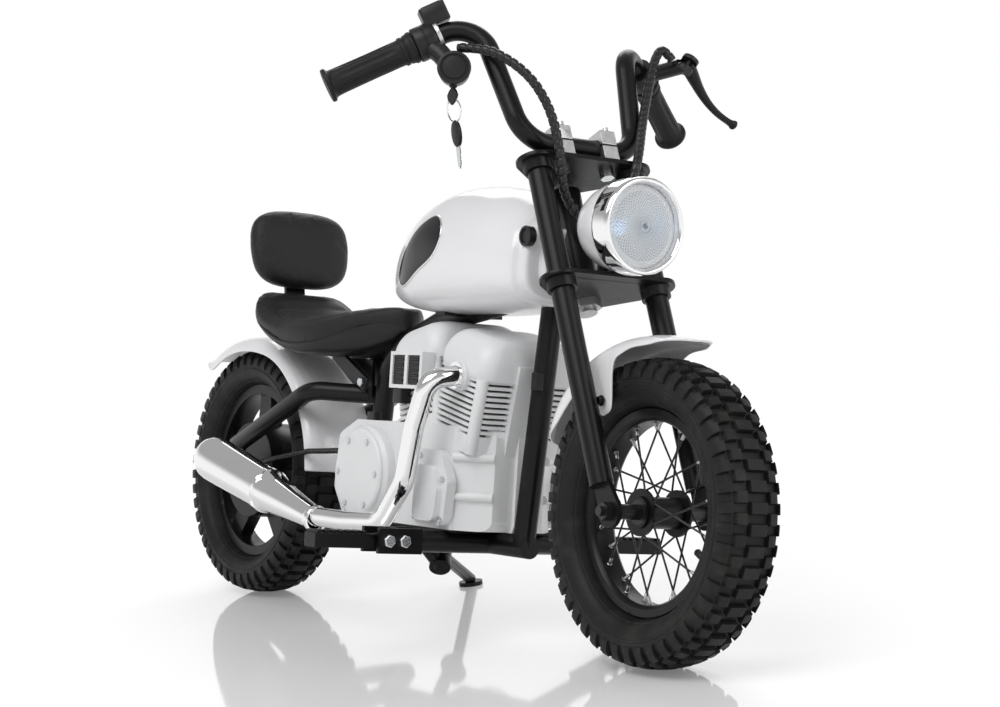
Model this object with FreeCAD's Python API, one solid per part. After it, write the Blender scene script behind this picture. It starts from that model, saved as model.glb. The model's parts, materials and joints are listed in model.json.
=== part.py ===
import FreeCAD, Part
import math
import os

# Kids electric motorbike, chopper style, parked on its side stand.
# Modelled upright: X forward from the front axle, Y to the rider's left, Z up from the ground.
# The last section leans the whole bike onto its stand and moves the origin under its middle.

V = FreeCAD.Vector

# Driving dimensions, millimetres and degrees
LEAN = 12.0
RAKE = 24.0
FIT = 0.05            # radial clearance of a running shaft
SEAT = 0.3            # play between parts that rest beside each other
GAP = 0.5             # free space between parts that move past each other
SKIN = 3.0            # wall of the moulded covers
PLATE = 5.0           # flat steel plate
SHEET = 3.0           # pressed steel sheet

# Wheels
TYRE_RADIUS = 160.0
TYRE_HALF_WIDTH = 36.0
TREAD_DEPTH = 6.0
TREAD_BLOCKS = 46
TREAD_GAP = 8.4
SHOULDER_DROP = 8.0
TYRE_WALL = 5.0
BEAD = 5.0
FRONT_RIM_RADIUS = 107.5
REAR_RIM_RADIUS = 113.0
RIM_DEPTH = 13.0
RIM_HALF_WIDTH = 16.5
RIM_WALL = 3.0
SPOKES_PER_SIDE = 14
SPOKE_RADIUS = 1.1
SPOKE_CROSS = 38.0
HUB_FLANGE_RADIUS = 24.5
HUB_FLANGE_Y = 23.5
HUB_HALF_LENGTH = 28.0
HUB_RADIUS = 16.5
BEARING_RADIUS = 13.0
BEARING_WIDTH = 8.0
FRONT_AXLE_RADIUS = 5.0
REAR_AXLE_RADIUS = 6.0
FRONT_SLEEVE_RADIUS = 8.0
REAR_SLEEVE_RADIUS = 9.0
NUT_HEIGHT = 8.0
AXLE_STUB = 5.0
MOTOR_RADIUS = 62.0
MOTOR_HALF_WIDTH = 27.0
STATOR_SLOTS = 12
REAR_SPOKES = 5
REAR_SPOKE_WIDTH = 34.0
REAR_SPOKE_HALF_THICKNESS = 9.0
DISC_RADIUS = 62.0
DISC_THICKNESS = 2.0
DISC_STANDOFF = 9.0
DISC_VENTS = 12

# Gaps along the bike: front tyre, down tube, seat tube, rear tyre
DOWN_TUBE_GAP = 80.0
CRADLE_LENGTH = 332.0
SEAT_TUBE_GAP = 110.0

# Fork and steering head
FORK_HALF_SPACING = 62.7
FORK_TUBE_RADIUS = 12.7
FORK_OFFSET = 44.0
AXLE_LEAD = 5.0
CLAMP_CLEARANCE = 103.0
CLAMP_SPACING = 140.0
CLAMP_BOSS = 23.0
COLLAR_WALL = 3.5
COLLAR_HEIGHT = 11.0
DROPOUT_RADIUS = 17.0
TUBE_END_RISE = 30.0
STEM_RADIUS = 11.0
HEAD_TUBE_RADIUS = 19.0
CUP_RADIUS = 15.0
CUP_HEIGHT = 12.0
HEAD_GAP = 6.0
NECK_WELD_RISE = 42.0

# Handlebar: places measured back, across and up from the middle of its clamps
BAR_RADIUS = 11.1
BAR_REACH = 44.0
BAR_RISE = 23.0
RISER_Y = 30.0
BAR_BEND = 38.0
BAR_KNEE_Y = 74.0
BAR_TOP_BACK = 68.2
BAR_TOP_Y = 100.0
BAR_TOP_RISE = 135.9
BAR_END_BACK = 147.2
BAR_END_Y = 239.0
BAR_END_RISE = 49.9
GRIP_RADIUS = 15.0
GRIP_FLANGE = 19.0
GRIP_LENGTH = 106.0
CONTROL_WIDTH = 24.0
CONTROL_RADIUS = 20.0
LOOM_RADIUS = 4.5

# Key lock, key, ring and brake lever, measured from the top of their side of the handlebar
LOCK_AHEAD = 10.0
LOCK_OUT = 32.0
LOCK_DROP = 75.0
LOCK_LENGTH = 44.0
LOCK_RADIUS = 16.0
KEY_RADIUS = 3.0
KEY_HOLE_DROP = 17.0
RING_RADIUS = 10.0
RING_WIRE = 1.1
LEVER_PIVOT_PLACE = V(39, 65, -19)
LEVER_KNEE_PLACE = V(28, 94, -44)
LEVER_TIP_PLACE = V(21, 155, -77)
LEVER_PIN_RADIUS = 2.5
LEVER_HALF_THICKNESS = 4.0

# Frame
TUBE = 12.7
STAY = 11.5
STAY_Y = 61.0
STAY_RISE = 106.0
RAIL_DROP = 54.0
BACKBONE_DROP = 30.7
FOOT_BAR_BACK = 65.0
PEG_PIVOT_Y = 148.0
PEG_PIN_RADIUS = 4.0
PEG_LENGTH = 88.0
PEG_HALF_WIDTH = 12.0
PEG_RIDGES = 7
STAND_AXIS = V(-0.6, 0.4, 0.7).normalize()
STAND_AHEAD = 102.0
STAND_PIVOT_Y = 40.0
STAND_DROP = 26.0
STAND_FOOT_Y = 166.0
STAND_FOOT_BACK = 18.0
STAND_RADIUS = 7.0
STAND_EYE = 13.0
STAND_PIN = 4.0

# Engine
ENGINE_HALF_WIDTH = 68.0
ENGINE_FRONT_GAP = 16.0
ENGINE_REAR_GAP = 24.0
CASE_HEIGHT = 130.0
CHAMFER = 34.0
SEAM_HALF_WIDTH = 7.0
SEAM_RISE = 5.0
TOWER_TILT = 12.0
FIN_PITCH = 6.4
FIN_SLOT = 2.8
FIN_DEPTH = 6.0
FIN_COUNT = 10
TOWER_HALF_LENGTH = 45.0
TOWER_SETBACK = 52.0
TOWER_SPACING = 64.0
TOWER_HEIGHT = 84.0
COVER_HEIGHT = 46.0
BAND_HALF_WIDTH = 22.0
BAND_RISE = 8.0
RIB_RADIUS = 7.0
CLUTCH_RADIUS = 52.0
CLUTCH_AHEAD = 82.0
CLUTCH_RISE = 68.0
GEAR_BACK = 58.0
GEAR_RISE = 58.0
SCREW_RADIUS = 3.2
SCREW_HEIGHT = 2.5
AIR_RISE = 60.0

# Exhaust
PIPE_RADIUS = 11.5
MUFFLER_RADIUS = 28.0
EXHAUST_Y = -108.0
PORT_BACK = 30.0
PORT_RISE = 56.0
PORT_STANDOUT = 3.0
PIPE_RISE = 12.0
MUFFLER_AHEAD = 42.0
MUFFLER_TAIL = 36.0
MUFFLER_RISE = 60.0

# Tank and seat
TANK_DROP = 20.0
TANK_REST_BACK = 207.0
TANK_REST_Y = 40.0
SOCKET_BACK = 23.0
SOCKET_RISE = 76.0
SOCKET_RADIUS = 15.0
SOCKET_BORE = 6.0
SOCKET_DEPTH = 5.0
SOCKET_STANDOUT = 8.0
SEAT_DROP = 10.0
PAN_HEIGHT = 17.0
PAD_OVERHANG = 3.0
BACKREST_RISE = 138.0
BACKREST_TILT = -12.0

# Fenders: gap over the tyre, half width, and angles from straight up
FENDER_CROWN = 11.0
FENDER_SKIRT = 8.0
REAR_FENDER_GAP = 10.0
REAR_FENDER_TAIL = -38.0
REAR_FENDER_NOSE = 88.0
FRONT_FENDER_GAP = 12.0
FRONT_FENDER_HALF_WIDTH = 43.0
FRONT_FENDER_TAIL = -70.0
FRONT_FENDER_NOSE = 18.4
EAR_RISE = 129.0
EAR_LEAD = 5.0

# Headlight, measured from the steering axis at the lower clamp
LAMP_RADIUS = 52.5
LAMP_REACH = 101.7
LAMP_RISE = 77.7
LAMP_DEPTH = 88.0

# Derived places
AXLE_Z = TYRE_RADIUS
TYRE_TOP = 2 * TYRE_RADIUS
DOWN_FOOT_X = -TYRE_RADIUS - DOWN_TUBE_GAP
SEAT_TUBE_X = DOWN_FOOT_X - CRADLE_LENGTH
REAR_X = SEAT_TUBE_X - SEAT_TUBE_GAP - TYRE_RADIUS
RAIL_Z = AXLE_Z - RAIL_DROP
PLATE_TOP_Z = RAIL_Z + TUBE + SHEET / 3
FOOT_BAR_X = DOWN_FOOT_X - FOOT_BAR_BACK
STAND_PIVOT = V(SEAT_TUBE_X + STAND_AHEAD, STAND_PIVOT_Y, RAIL_Z - STAND_DROP)
STAND_FOOT_X = SEAT_TUBE_X - STAND_FOOT_BACK
ENGINE_FRONT_X = DOWN_FOOT_X - ENGINE_FRONT_GAP
ENGINE_REAR_X = SEAT_TUBE_X + ENGINE_REAR_GAP
CASE_TOP_Z = RAIL_Z + CASE_HEIGHT
FRONT_TOWER_X = ENGINE_FRONT_X - TOWER_SETBACK
REAR_TOWER_X = FRONT_TOWER_X - TOWER_SPACING
CLUTCH_X = ENGINE_REAR_X + CLUTCH_AHEAD
CLUTCH_Z = RAIL_Z + CLUTCH_RISE
GEAR_X = ENGINE_FRONT_X - GEAR_BACK
GEAR_Z = RAIL_Z + GEAR_RISE
AIR_X = REAR_TOWER_X - 7
AIR_Z = CASE_TOP_Z + AIR_RISE
EXHAUST_PORT = V(ENGINE_FRONT_X - PORT_BACK, 0, CASE_TOP_Z + PORT_RISE)
PORT_FACE_Y = -ENGINE_HALF_WIDTH - PORT_STANDOUT
PIPE_LOW_Z = RAIL_Z + PIPE_RISE
MUFFLER_START = SEAT_TUBE_X + MUFFLER_AHEAD
MUFFLER_END = REAR_X + MUFFLER_TAIL
CLAMP_RISE = TYRE_RADIUS + CLAMP_CLEARANCE
RAKE_SIN = math.sin(math.radians(RAKE))
RAKE_COS = math.cos(math.radians(RAKE))
Y_AXIS = V(0, 1, 0)

# The steering frame: origin on the steering axis at the lower clamp, Z up the axis, X forward
AXLE_REACH = FORK_OFFSET + AXLE_LEAD
STEER_ORIGIN = V(
    -AXLE_REACH * RAKE_COS - CLAMP_RISE * RAKE_SIN,
    0,
    AXLE_Z - AXLE_REACH * RAKE_SIN + CLAMP_RISE * RAKE_COS,
)
STEER = FreeCAD.Placement(STEER_ORIGIN, FreeCAD.Rotation(Y_AXIS, -RAKE))


def steered(shape):
    """Carry a shape from the steering frame to the bike frame."""
    moved = shape.copy()
    moved.Placement = STEER.multiply(moved.Placement)
    return moved


def steer_point(reach, y, rise):
    """A point of the bike given by its reach and rise in the steering frame."""
    return STEER.multVec(V(reach, y, rise))


def other_side(point):
    """The same point on the left of the bike."""
    return V(point.x, -point.y, point.z)


NECK_WELD = steer_point(0, 0, NECK_WELD_RISE)
BACKBONE_Z = NECK_WELD.z - BACKBONE_DROP
LAMP_X = STEER_ORIGIN.x + LAMP_REACH
LAMP_Z = STEER_ORIGIN.z + LAMP_RISE
BAR_CENTRE = steer_point(BAR_REACH, 0, CLAMP_SPACING + BAR_RISE)
BAR_KNEE = BAR_CENTRE + V(0, -BAR_KNEE_Y, 0)
BAR_TOP = BAR_CENTRE + V(-BAR_TOP_BACK, -BAR_TOP_Y, BAR_TOP_RISE)
BAR_END = BAR_CENTRE + V(-BAR_END_BACK, -BAR_END_Y, BAR_END_RISE)
GRIP_AXIS = (BAR_END - BAR_TOP).normalize()
GRIP_INNER = BAR_END - GRIP_AXIS * GRIP_LENGTH
LOCK = V(BAR_TOP.x + LOCK_AHEAD, BAR_TOP.y - LOCK_OUT, 0)
LOCK_LOW = BAR_TOP.z - LOCK_DROP
LOCK_HIGH = LOCK_LOW + LOCK_LENGTH
RING_PIVOT = V(LOCK.x, LOCK.y, LOCK_LOW - KEY_HOLE_DROP)
LEVER_PIVOT = other_side(BAR_TOP) + LEVER_PIVOT_PLACE
LEVER_KNEE = other_side(BAR_TOP) + LEVER_KNEE_PLACE
LEVER_TIP = other_side(BAR_TOP) + LEVER_TIP_PLACE
CABLE_Y = STAY_Y - STAY + 4.0

# Stations along the tank, as distance behind its neck, half width, underside and top over the tank's
# lowest line, and corner radius; then those of the neck
TANK_X = NECK_WELD.x - SKIN
TANK_LOW_Z = BACKBONE_Z - TANK_DROP
TANK_REST_X = TANK_X - TANK_REST_BACK
SOCKET_X = TANK_X - SOCKET_BACK
SOCKET_Z = TANK_LOW_Z + SOCKET_RISE


def tank_stations(rows):
    """Tank stations in the bike frame."""
    return [(TANK_X - back, w, TANK_LOW_Z + low, TANK_LOW_Z + high, r) for back, w, low, high, r in rows]


TANK = tank_stations([
    (320, 24, 6, 34, 13), (290, 56, 1, 78, 34), (240, 77, 0, 122, 50), (178, 82, 0, 142, 56),
    (118, 80, 0, 142, 54), (68, 71, 2, 130, 46), (34, 57, 10, 108, 34),
])
NECK = tank_stations([(48, 44, 16, 110, 24), (0, 40, 24, 104, 24)])

# Stations along the seat, as distance ahead of the seat tube, half width, underside of the pan and top
# of the pad over the seat's lowest line
SEAT_Z = TYRE_TOP - SEAT_DROP
SEAT_STATIONS = [
    (SEAT_TUBE_X + ahead, w, SEAT_Z + low, SEAT_Z + high)
    for ahead, w, low, high in (
        (120, 38, 24, 55), (72, 58, 8, 50), (24, 70, 0, 44), (-38, 78, 0, 43),
        (-108, 82, 8, 53), (-168, 80, 24, 70), (-203, 68, 36, 83), (-218, 46, 42, 84),
    )
]
BACKREST_X = SEAT_STATIONS[-1][0] - SEAT
BACKREST_Z = SEAT_Z + BACKREST_RISE


# Shape helpers

def rod(start, end, radius):
    """Round bar between two points."""
    return Part.makeCylinder(radius, (end - start).Length, start, end - start)


def across(x, z, y_from, y_to, radius):
    """Round bar lying across the bike."""
    return rod(V(x, y_from, z), V(x, y_to, z), radius)


def sleeve(x, z, y_from, y_to, outer, inner):
    """Hollow round bar lying across the bike."""
    return across(x, z, y_from, y_to, outer).cut(across(x, z, y_from, y_to, inner))


def block(x_from, x_to, y_from, y_to, z_from, z_to):
    """Box between two corners."""
    return Part.makeBox(x_to - x_from, y_to - y_from, z_to - z_from, V(x_from, y_from, z_from))


def mirrored(shape):
    """The same shape on the other side of the bike."""
    return shape.mirror(V(0, 0, 0), Y_AXIS)


def both(shape):
    """A shape and its twin on the other side."""
    return Part.makeCompound([shape, mirrored(shape)])


def merged(shapes):
    """One solid from touching shapes."""
    first, *rest = shapes
    return first.multiFuse(rest).removeSplitter()


def turned(shape, centre, axis, angle):
    """A copy turned about an axis through a point."""
    copy = shape.copy()
    copy.rotate(centre, axis, angle)
    return copy


def ring_of(shape, centre, axis, count, start=0.0):
    """Equal copies around an axis."""
    return [turned(shape, centre, axis, start + 360.0 * i / count) for i in range(count)]


def bent_wire(points, bend):
    """Straight runs joined by tangent arcs."""
    edges = []
    last = points[0]
    for before, corner, after in zip(points, points[1:], points[2:]):
        back = (before - corner).normalize()
        ahead = (after - corner).normalize()
        half = back.getAngle(ahead) / 2
        room = 0.48 * min((before - corner).Length, (after - corner).Length)
        setback = min(bend / math.tan(half), room)
        middle = corner + (back + ahead).normalize() * (
            setback / math.cos(half) - setback * math.tan(half)
        )
        start = corner + back * setback
        end = corner + ahead * setback
        edges.append(Part.LineSegment(last, start).toShape())
        edges.append(Part.Arc(start, middle, end).toShape())
        last = end
    edges.append(Part.LineSegment(last, points[-1]).toShape())
    return Part.Wire(edges)


def tube(points, radius, bend):
    """Bent round tube along a line of points."""
    wire = bent_wire(points, bend)
    face = Part.Wire(Part.makeCircle(radius, points[0], points[1] - points[0]))
    return wire.makePipeShell([face], True, True)


def plate_xz(points, y_from, y_to, rounding=0.0):
    """Upright plate: an outline of (x, z) corners, rounded, thick from y_from to y_to."""
    wire = Part.makePolygon([V(x, y_from, z) for x, z in points + points[:1]])
    face = Part.Face(wire)
    if rounding:
        face = face.makeOffset2D(-rounding).makeOffset2D(rounding)
    return face.extrude(V(0, y_to - y_from, 0))


def rounded_wire(x, half_width, low, high, radius):
    """Rounded rectangle across the bike at one station along it."""
    radius = min(radius, half_width - 1, (high - low) / 2 - 1)
    edges = []
    corners = ((1, 1), (-1, 1), (-1, -1), (1, -1))
    middle = (low + high) / 2
    half_height = (high - low) / 2
    points = []
    for sy, sz in corners:
        centre = V(x, sy * (half_width - radius), middle + sz * (half_height - radius))
        beside = centre + V(0, sy * radius, 0)
        above = centre + V(0, 0, sz * radius)
        diagonal = centre + V(0, sy, sz).normalize() * radius
        points.append((beside, diagonal, above) if sy * sz > 0 else (above, diagonal, beside))
    for (start, via, end), (following, _, _) in zip(points, points[1:] + points[:1]):
        edges.append(Part.Arc(start, via, end).toShape())
        edges.append(Part.LineSegment(end, following).toShape())
    return Part.Wire(edges)


def lofted(stations):
    """Smooth body through rounded rectangles given as (x, half width, low, high, radius)."""
    return Part.makeLoft([rounded_wire(*s) for s in stations], True, False)


def shrunk(stations, wall):
    """The same stations drawn in by a wall."""
    return [(x, w - wall, low + wall, high - wall, max(r - wall, 2)) for x, w, low, high, r in stations]


def turned_profile(points, centre, axis, along):
    """Body of revolution from (distance along the axis, radius) corners."""
    axis = V(axis).normalize()
    side = along.cross(axis).normalize()
    wire = Part.makePolygon([centre + axis * a + side * r for a, r in points + points[:1]])
    body = Part.Face(wire).revolve(centre, axis, 360)
    return body if body.Volume > 0 else body.reversed()


def lamp_profile(points):
    """Body of revolution about the headlight's level axis from (x, radius) corners."""
    return turned_profile(points, V(0, 0, LAMP_Z), V(1, 0, 0), V(0, 1, 0))


def hexagon(centre, axis, radius, height):
    """Hexagonal nut or bolt head."""
    axis = V(axis).normalize()
    side = V(axis.z, axis.x, axis.y)
    side = (side - axis * side.dot(axis)).normalize()
    rim = [centre + FreeCAD.Rotation(axis, 60 * i).multVec(side) * radius for i in range(7)]
    return Part.Face(Part.makePolygon(rim)).extrude(axis * height)


# Tyres

def tyre_outline(rim_radius):
    """Outside of a tyre from bead to bead, as (offset from the middle, radius) corners."""
    w = TYRE_HALF_WIDTH
    crown = TYRE_RADIUS
    lip = RIM_HALF_WIDTH - RIM_WALL - 0.2
    belly = (rim_radius + crown) / 2
    half = [
        (-lip, rim_radius - BEAD), (-lip, rim_radius + 0.3), (-w + 8, rim_radius + 8), (-w, belly - 6),
        (-w, belly + 6), (-w * 0.84, crown - 10), (-w * 0.5, crown - 2.5), (-w * 0.24, crown),
    ]
    return half + [(-a, r) for a, r in reversed(half)]


def tyre(x, rim_radius):
    """Hollow knobbly tyre: a turned carcass with the tread cut into rows of blocks."""
    w = TYRE_HALF_WIDTH - TYRE_WALL
    lip = RIM_HALF_WIDTH - RIM_WALL - TYRE_WALL
    belly = (rim_radius + TYRE_RADIUS) / 2
    ceiling = TYRE_RADIUS - TYRE_WALL - TREAD_DEPTH
    inner = [
        (lip, rim_radius - BEAD), (lip + 2, rim_radius + 4), (w, belly - 4), (w - 1, belly + 3),
        (w * 0.4, ceiling),
    ]
    inner += [(-a, r) for a, r in reversed(inner)]
    centre = V(x, 0, AXLE_Z)
    carcass = turned_profile(tyre_outline(rim_radius) + inner, centre, Y_AXIS, V(1, 0, 0))
    return carcass.cut(Part.makeCompound(tread_slots(centre)))


def tread_slots(centre):
    """Grooves between the tread blocks, cut from the crown down."""
    half = TREAD_GAP / 2
    floor = TYRE_RADIUS - TREAD_DEPTH
    row = TYRE_HALF_WIDTH * 0.36
    tall = 2 * TREAD_DEPTH
    middle = block(-half, half, -row, row, floor, floor + tall)
    side = block(-half, half, row, TYRE_HALF_WIDTH + 1, floor - SHOULDER_DROP, floor + tall)
    middle.translate(centre)
    side.translate(centre)
    twist = 180.0 / TREAD_BLOCKS
    slots = ring_of(middle, centre, Y_AXIS, TREAD_BLOCKS)
    slots += ring_of(side, centre, Y_AXIS, TREAD_BLOCKS, twist)
    slots += ring_of(mirrored(side), centre, Y_AXIS, TREAD_BLOCKS, twist)
    return slots


# Front wheel

def front_rim():
    """Drop-centre rim open to the tyre."""
    inside = FRONT_RIM_RADIUS - RIM_DEPTH
    w = RIM_HALF_WIDTH
    wall = RIM_WALL
    profile = [
        (-w, FRONT_RIM_RADIUS), (-w, inside + 4), (-w + 5, inside), (w - 5, inside),
        (w, inside + 4), (w, FRONT_RIM_RADIUS), (w - wall, FRONT_RIM_RADIUS),
        (w - wall, inside + 5), (w - 6, inside + wall), (-w + 6, inside + wall),
        (-w + wall, inside + 5), (-w + wall, FRONT_RIM_RADIUS),
    ]
    return turned_profile(profile, V(0, 0, AXLE_Z), Y_AXIS, V(1, 0, 0))


def front_hub():
    """Flanged hub with a bearing seat at each end."""
    half = HUB_HALF_LENGTH
    hub = across(0, AXLE_Z, -half, half, HUB_RADIUS)
    for side in (-1, 1):
        y = side * HUB_FLANGE_Y
        hub = hub.fuse(across(0, AXLE_Z, y - 1.5, y + 1.5, HUB_FLANGE_RADIUS))
        hub = hub.cut(across(0, AXLE_Z, side * (half - BEARING_WIDTH), side * half, BEARING_RADIUS))
    return hub.cut(across(0, AXLE_Z, -half, half, FRONT_AXLE_RADIUS + 2))


def front_bearings():
    """One ball bearing in each end of the hub."""
    y = HUB_HALF_LENGTH
    bore = FRONT_AXLE_RADIUS + FIT
    return both(sleeve(0, AXLE_Z, y - BEARING_WIDTH, y, BEARING_RADIUS, bore))


def front_spokes(hub, rim):
    """Crossed wire spokes from both hub flanges to the middle of the rim."""
    centre = V(0, 0, AXLE_Z)
    reach = FRONT_RIM_RADIUS - RIM_DEPTH + RIM_WALL / 2
    root = HUB_FLANGE_RADIUS - 1
    spokes = []
    for side in (-1, 1):
        for lead in (-1, 1):
            swing = math.radians(lead * SPOKE_CROSS)
            y = side * (HUB_FLANGE_Y + lead * 0.4)
            start = centre + V(root * math.sin(swing), y, root * math.cos(swing))
            spoke = rod(start, centre + V(0, side * 4, reach), SPOKE_RADIUS)
            offset = 90.0 * (1 + side) / SPOKES_PER_SIDE + 90.0 * (1 + lead) / SPOKES_PER_SIDE * 2
            spokes += ring_of(spoke, centre, Y_AXIS, SPOKES_PER_SIDE // 2, offset)
    return Part.makeCompound([spoke.cut(hub).cut(rim) for spoke in spokes])


def axle(x, radius, dropout_y, sleeve_y, sleeve_radius):
    """Through axle with spacer sleeves inside the dropouts and a nut outside each."""
    inner = dropout_y - PLATE / 2
    outer = dropout_y + PLATE / 2
    end = outer + NUT_HEIGHT + AXLE_STUB
    shapes = [across(x, AXLE_Z, -end, end, radius)]
    for side in (-1, 1):
        shapes.append(across(x, AXLE_Z, side * sleeve_y, side * inner, sleeve_radius))
        shapes.append(hexagon(V(x, side * outer, AXLE_Z), V(0, side, 0), radius + 4.5, NUT_HEIGHT))
    return merged(shapes)


# Rear wheel with its hub motor

def rear_rim():
    """Cast wheel: rim, flat spokes and the shell of the hub motor in one piece."""
    centre = V(REAR_X, 0, AXLE_Z)
    inside = REAR_RIM_RADIUS - RIM_DEPTH
    w = RIM_HALF_WIDTH
    rim = [
        (-w, REAR_RIM_RADIUS), (-w, inside), (w, inside), (w, REAR_RIM_RADIUS),
        (w - RIM_WALL, REAR_RIM_RADIUS), (w - RIM_WALL, inside + 5), (-w + RIM_WALL, inside + 5),
        (-w + RIM_WALL, REAR_RIM_RADIUS),
    ]
    shapes = [turned_profile(rim, centre, Y_AXIS, V(1, 0, 0))]
    root = REAR_SPOKE_WIDTH / 2
    tip = root * 0.8
    t = REAR_SPOKE_HALF_THICKNESS
    outline = [(-root, MOTOR_RADIUS - 4), (root, MOTOR_RADIUS - 4), (tip, inside + 2), (-tip, inside + 2)]
    spoke = plate_xz(outline, -t, t)
    spoke.translate(centre)
    shapes += ring_of(spoke, centre, Y_AXIS, REAR_SPOKES)
    half = MOTOR_HALF_WIDTH
    shapes.append(across(REAR_X, AXLE_Z, -half, half, MOTOR_RADIUS))
    shapes.append(across(REAR_X, AXLE_Z, half, disc_y(), DISC_RADIUS * 0.55))
    wheel = merged(shapes)
    wheel = wheel.cut(across(REAR_X, AXLE_Z, -half + SKIN, half - SKIN, MOTOR_RADIUS - SKIN))
    return wheel.cut(across(REAR_X, AXLE_Z, -half - 20, half + 20, REAR_AXLE_RADIUS + FIT))


def disc_y():
    """Inner face of the brake disc."""
    return MOTOR_HALF_WIDTH + DISC_STANDOFF


def motor_stator():
    """Laminated stator with its windings, fixed to the axle inside the motor shell."""
    outer = MOTOR_RADIUS - SKIN - 4
    half = MOTOR_HALF_WIDTH - SKIN - 4
    core = sleeve(REAR_X, AXLE_Z, -half, half, outer, REAR_AXLE_RADIUS)
    centre = V(REAR_X, 0, AXLE_Z)
    slot = block(-3, 3, -half, half, outer - 12, outer + 1)
    slot.translate(centre)
    return core.cut(Part.makeCompound(ring_of(slot, centre, Y_AXIS, STATOR_SLOTS)))


def brake_disc():
    """Vented disc on the left face of the hub."""
    y = disc_y()
    centre = V(REAR_X, 0, AXLE_Z)
    disc = sleeve(REAR_X, AXLE_Z, y, y + DISC_THICKNESS, DISC_RADIUS, REAR_AXLE_RADIUS + 4)
    vent = across(REAR_X, AXLE_Z + DISC_RADIUS - 10, y - 1, y + DISC_THICKNESS + 1, 4)
    return disc.cut(Part.makeCompound(ring_of(vent, centre, Y_AXIS, DISC_VENTS)))


def brake_caliper():
    """Block straddling the disc beside the left stay."""
    y = disc_y()
    x = REAR_X + DISC_RADIUS - 6
    z = AXLE_Z + 26
    body = block(x - 18, x + 22, y - 7, STAY_Y - STAY - SEAT, z - 22, z + 22)
    slot = block(x - 40, x + 14, y - 1.2, y + DISC_THICKNESS + 1.2, z - 40, z + 40)
    return body.cut(slot)


# Frame

def spine(radius):
    """Backbone from the steering head under the tank and down behind the engine."""
    points = [
        NECK_WELD, V(NECK_WELD.x - 70, 0, BACKBONE_Z), V(SEAT_TUBE_X + 132, 0, BACKBONE_Z - 32),
        V(SEAT_TUBE_X + 22, 0, BACKBONE_Z - 72), V(SEAT_TUBE_X, 0, RAIL_Z),
    ]
    return tube(points, radius, 70)


def down_tube(radius):
    """Front tube from the steering head to the bottom rail."""
    return rod(V(NECK_WELD.x - 40, 0, BACKBONE_Z + 4), V(DOWN_FOOT_X, 0, RAIL_Z), radius)


def head_tube():
    """Tube around the steering stem, bored for it and for a bearing at each end."""
    low = HEAD_GAP
    high = CLAMP_SPACING - HEAD_GAP - PLATE
    bore = Part.makeCylinder(STEM_RADIUS + 2, high - low, V(0, 0, low))
    cups = [Part.makeCylinder(CUP_RADIUS, CUP_HEIGHT, V(0, 0, z)) for z in (low, high - CUP_HEIGHT)]
    outside = Part.makeCylinder(HEAD_TUBE_RADIUS, high - low, V(0, 0, low))
    return steered(outside), steered(merged([bore] + cups))


def main_frame(pan):
    """Welded tube frame: head, backbone, cradle, foot bar, rear stays, axle plates and brackets."""
    head, head_bore = head_tube()
    rail = rod(V(DOWN_FOOT_X + TUBE, 0, RAIL_Z), V(SEAT_TUBE_X - TUBE, 0, RAIL_Z), TUBE)
    foot_bar = across(FOOT_BAR_X, RAIL_Z, -PEG_PIVOT_Y + 20, PEG_PIVOT_Y - 20, TUBE)
    side = ENGINE_HALF_WIDTH - 2
    floor = block(ENGINE_REAR_X + 40, ENGINE_FRONT_X - 30, -side, side, PLATE_TOP_Z - SHEET, PLATE_TOP_Z)
    rest_low = TANK_LOW_Z - 2 * SHEET
    rest = block(TANK_REST_X - 10, TANK_REST_X + 10, -TANK_REST_Y, TANK_REST_Y, rest_low, TANK_LOW_Z)
    shapes = [head, spine(TUBE), down_tube(TUBE), rail, foot_bar, floor, rest, stand_bracket()]
    for side in (-1, 1):
        shapes += rear_stays(side)
    for bracket in (peg_bracket(), seat_bracket(pan)):
        shapes += [bracket, mirrored(bracket)]
    bolt = across(REAR_X, AXLE_Z, -STAY_Y - PLATE, STAY_Y + PLATE, REAR_AXLE_RADIUS)
    return merged(shapes).cut(head_bore).cut(bolt)


def rear_stays(side):
    """Upper and lower stay of one side, joined by the axle plate."""
    y = side * STAY_Y
    high = V(SEAT_TUBE_X, 0, AXLE_Z + STAY_RISE)
    low = V(SEAT_TUBE_X, 0, RAIL_Z)
    upper = tube([high, V(high.x - 60, y, high.z + 2), V(REAR_X + 26, y, AXLE_Z + 32)], STAY, 40)
    lower = tube([low, V(low.x - 50, y, low.z + 4), V(REAR_X + 30, y, AXLE_Z - 14)], STAY, 40)
    half = PLATE / 2
    outline = [
        (REAR_X - 16, AXLE_Z - 16), (REAR_X - 16, AXLE_Z + 16), (REAR_X + 24, AXLE_Z + 44),
        (REAR_X + 46, AXLE_Z + 30), (REAR_X + 46, AXLE_Z - 22), (REAR_X + 20, AXLE_Z - 26),
    ]
    plate = plate_xz(outline, y - half, y + half, 8)
    return [upper, lower, plate]


def stand_bracket():
    """Lug under the left side of the bottom rail for the side stand."""
    arm = rod(V(STAND_PIVOT.x, 0, RAIL_Z), STAND_PIVOT - STAND_AXIS * 18, 8)
    lug = rod(STAND_PIVOT - STAND_AXIS * 22, STAND_PIVOT - STAND_AXIS * 9, STAND_EYE)
    room = rod(STAND_PIVOT - STAND_AXIS * 9, STAND_PIVOT + STAND_AXIS * 30, STAND_EYE + 2)
    pin = rod(STAND_PIVOT - STAND_AXIS * 12, STAND_PIVOT + STAND_AXIS * 11, STAND_PIN)
    return merged([arm.fuse(lug).cut(room), pin])


def plumb(shape, pivot):
    """Turn a shape so that it stands true to the ground once the bike leans."""
    return turned(shape, pivot, V(1, 0, 0), LEAN)


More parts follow.
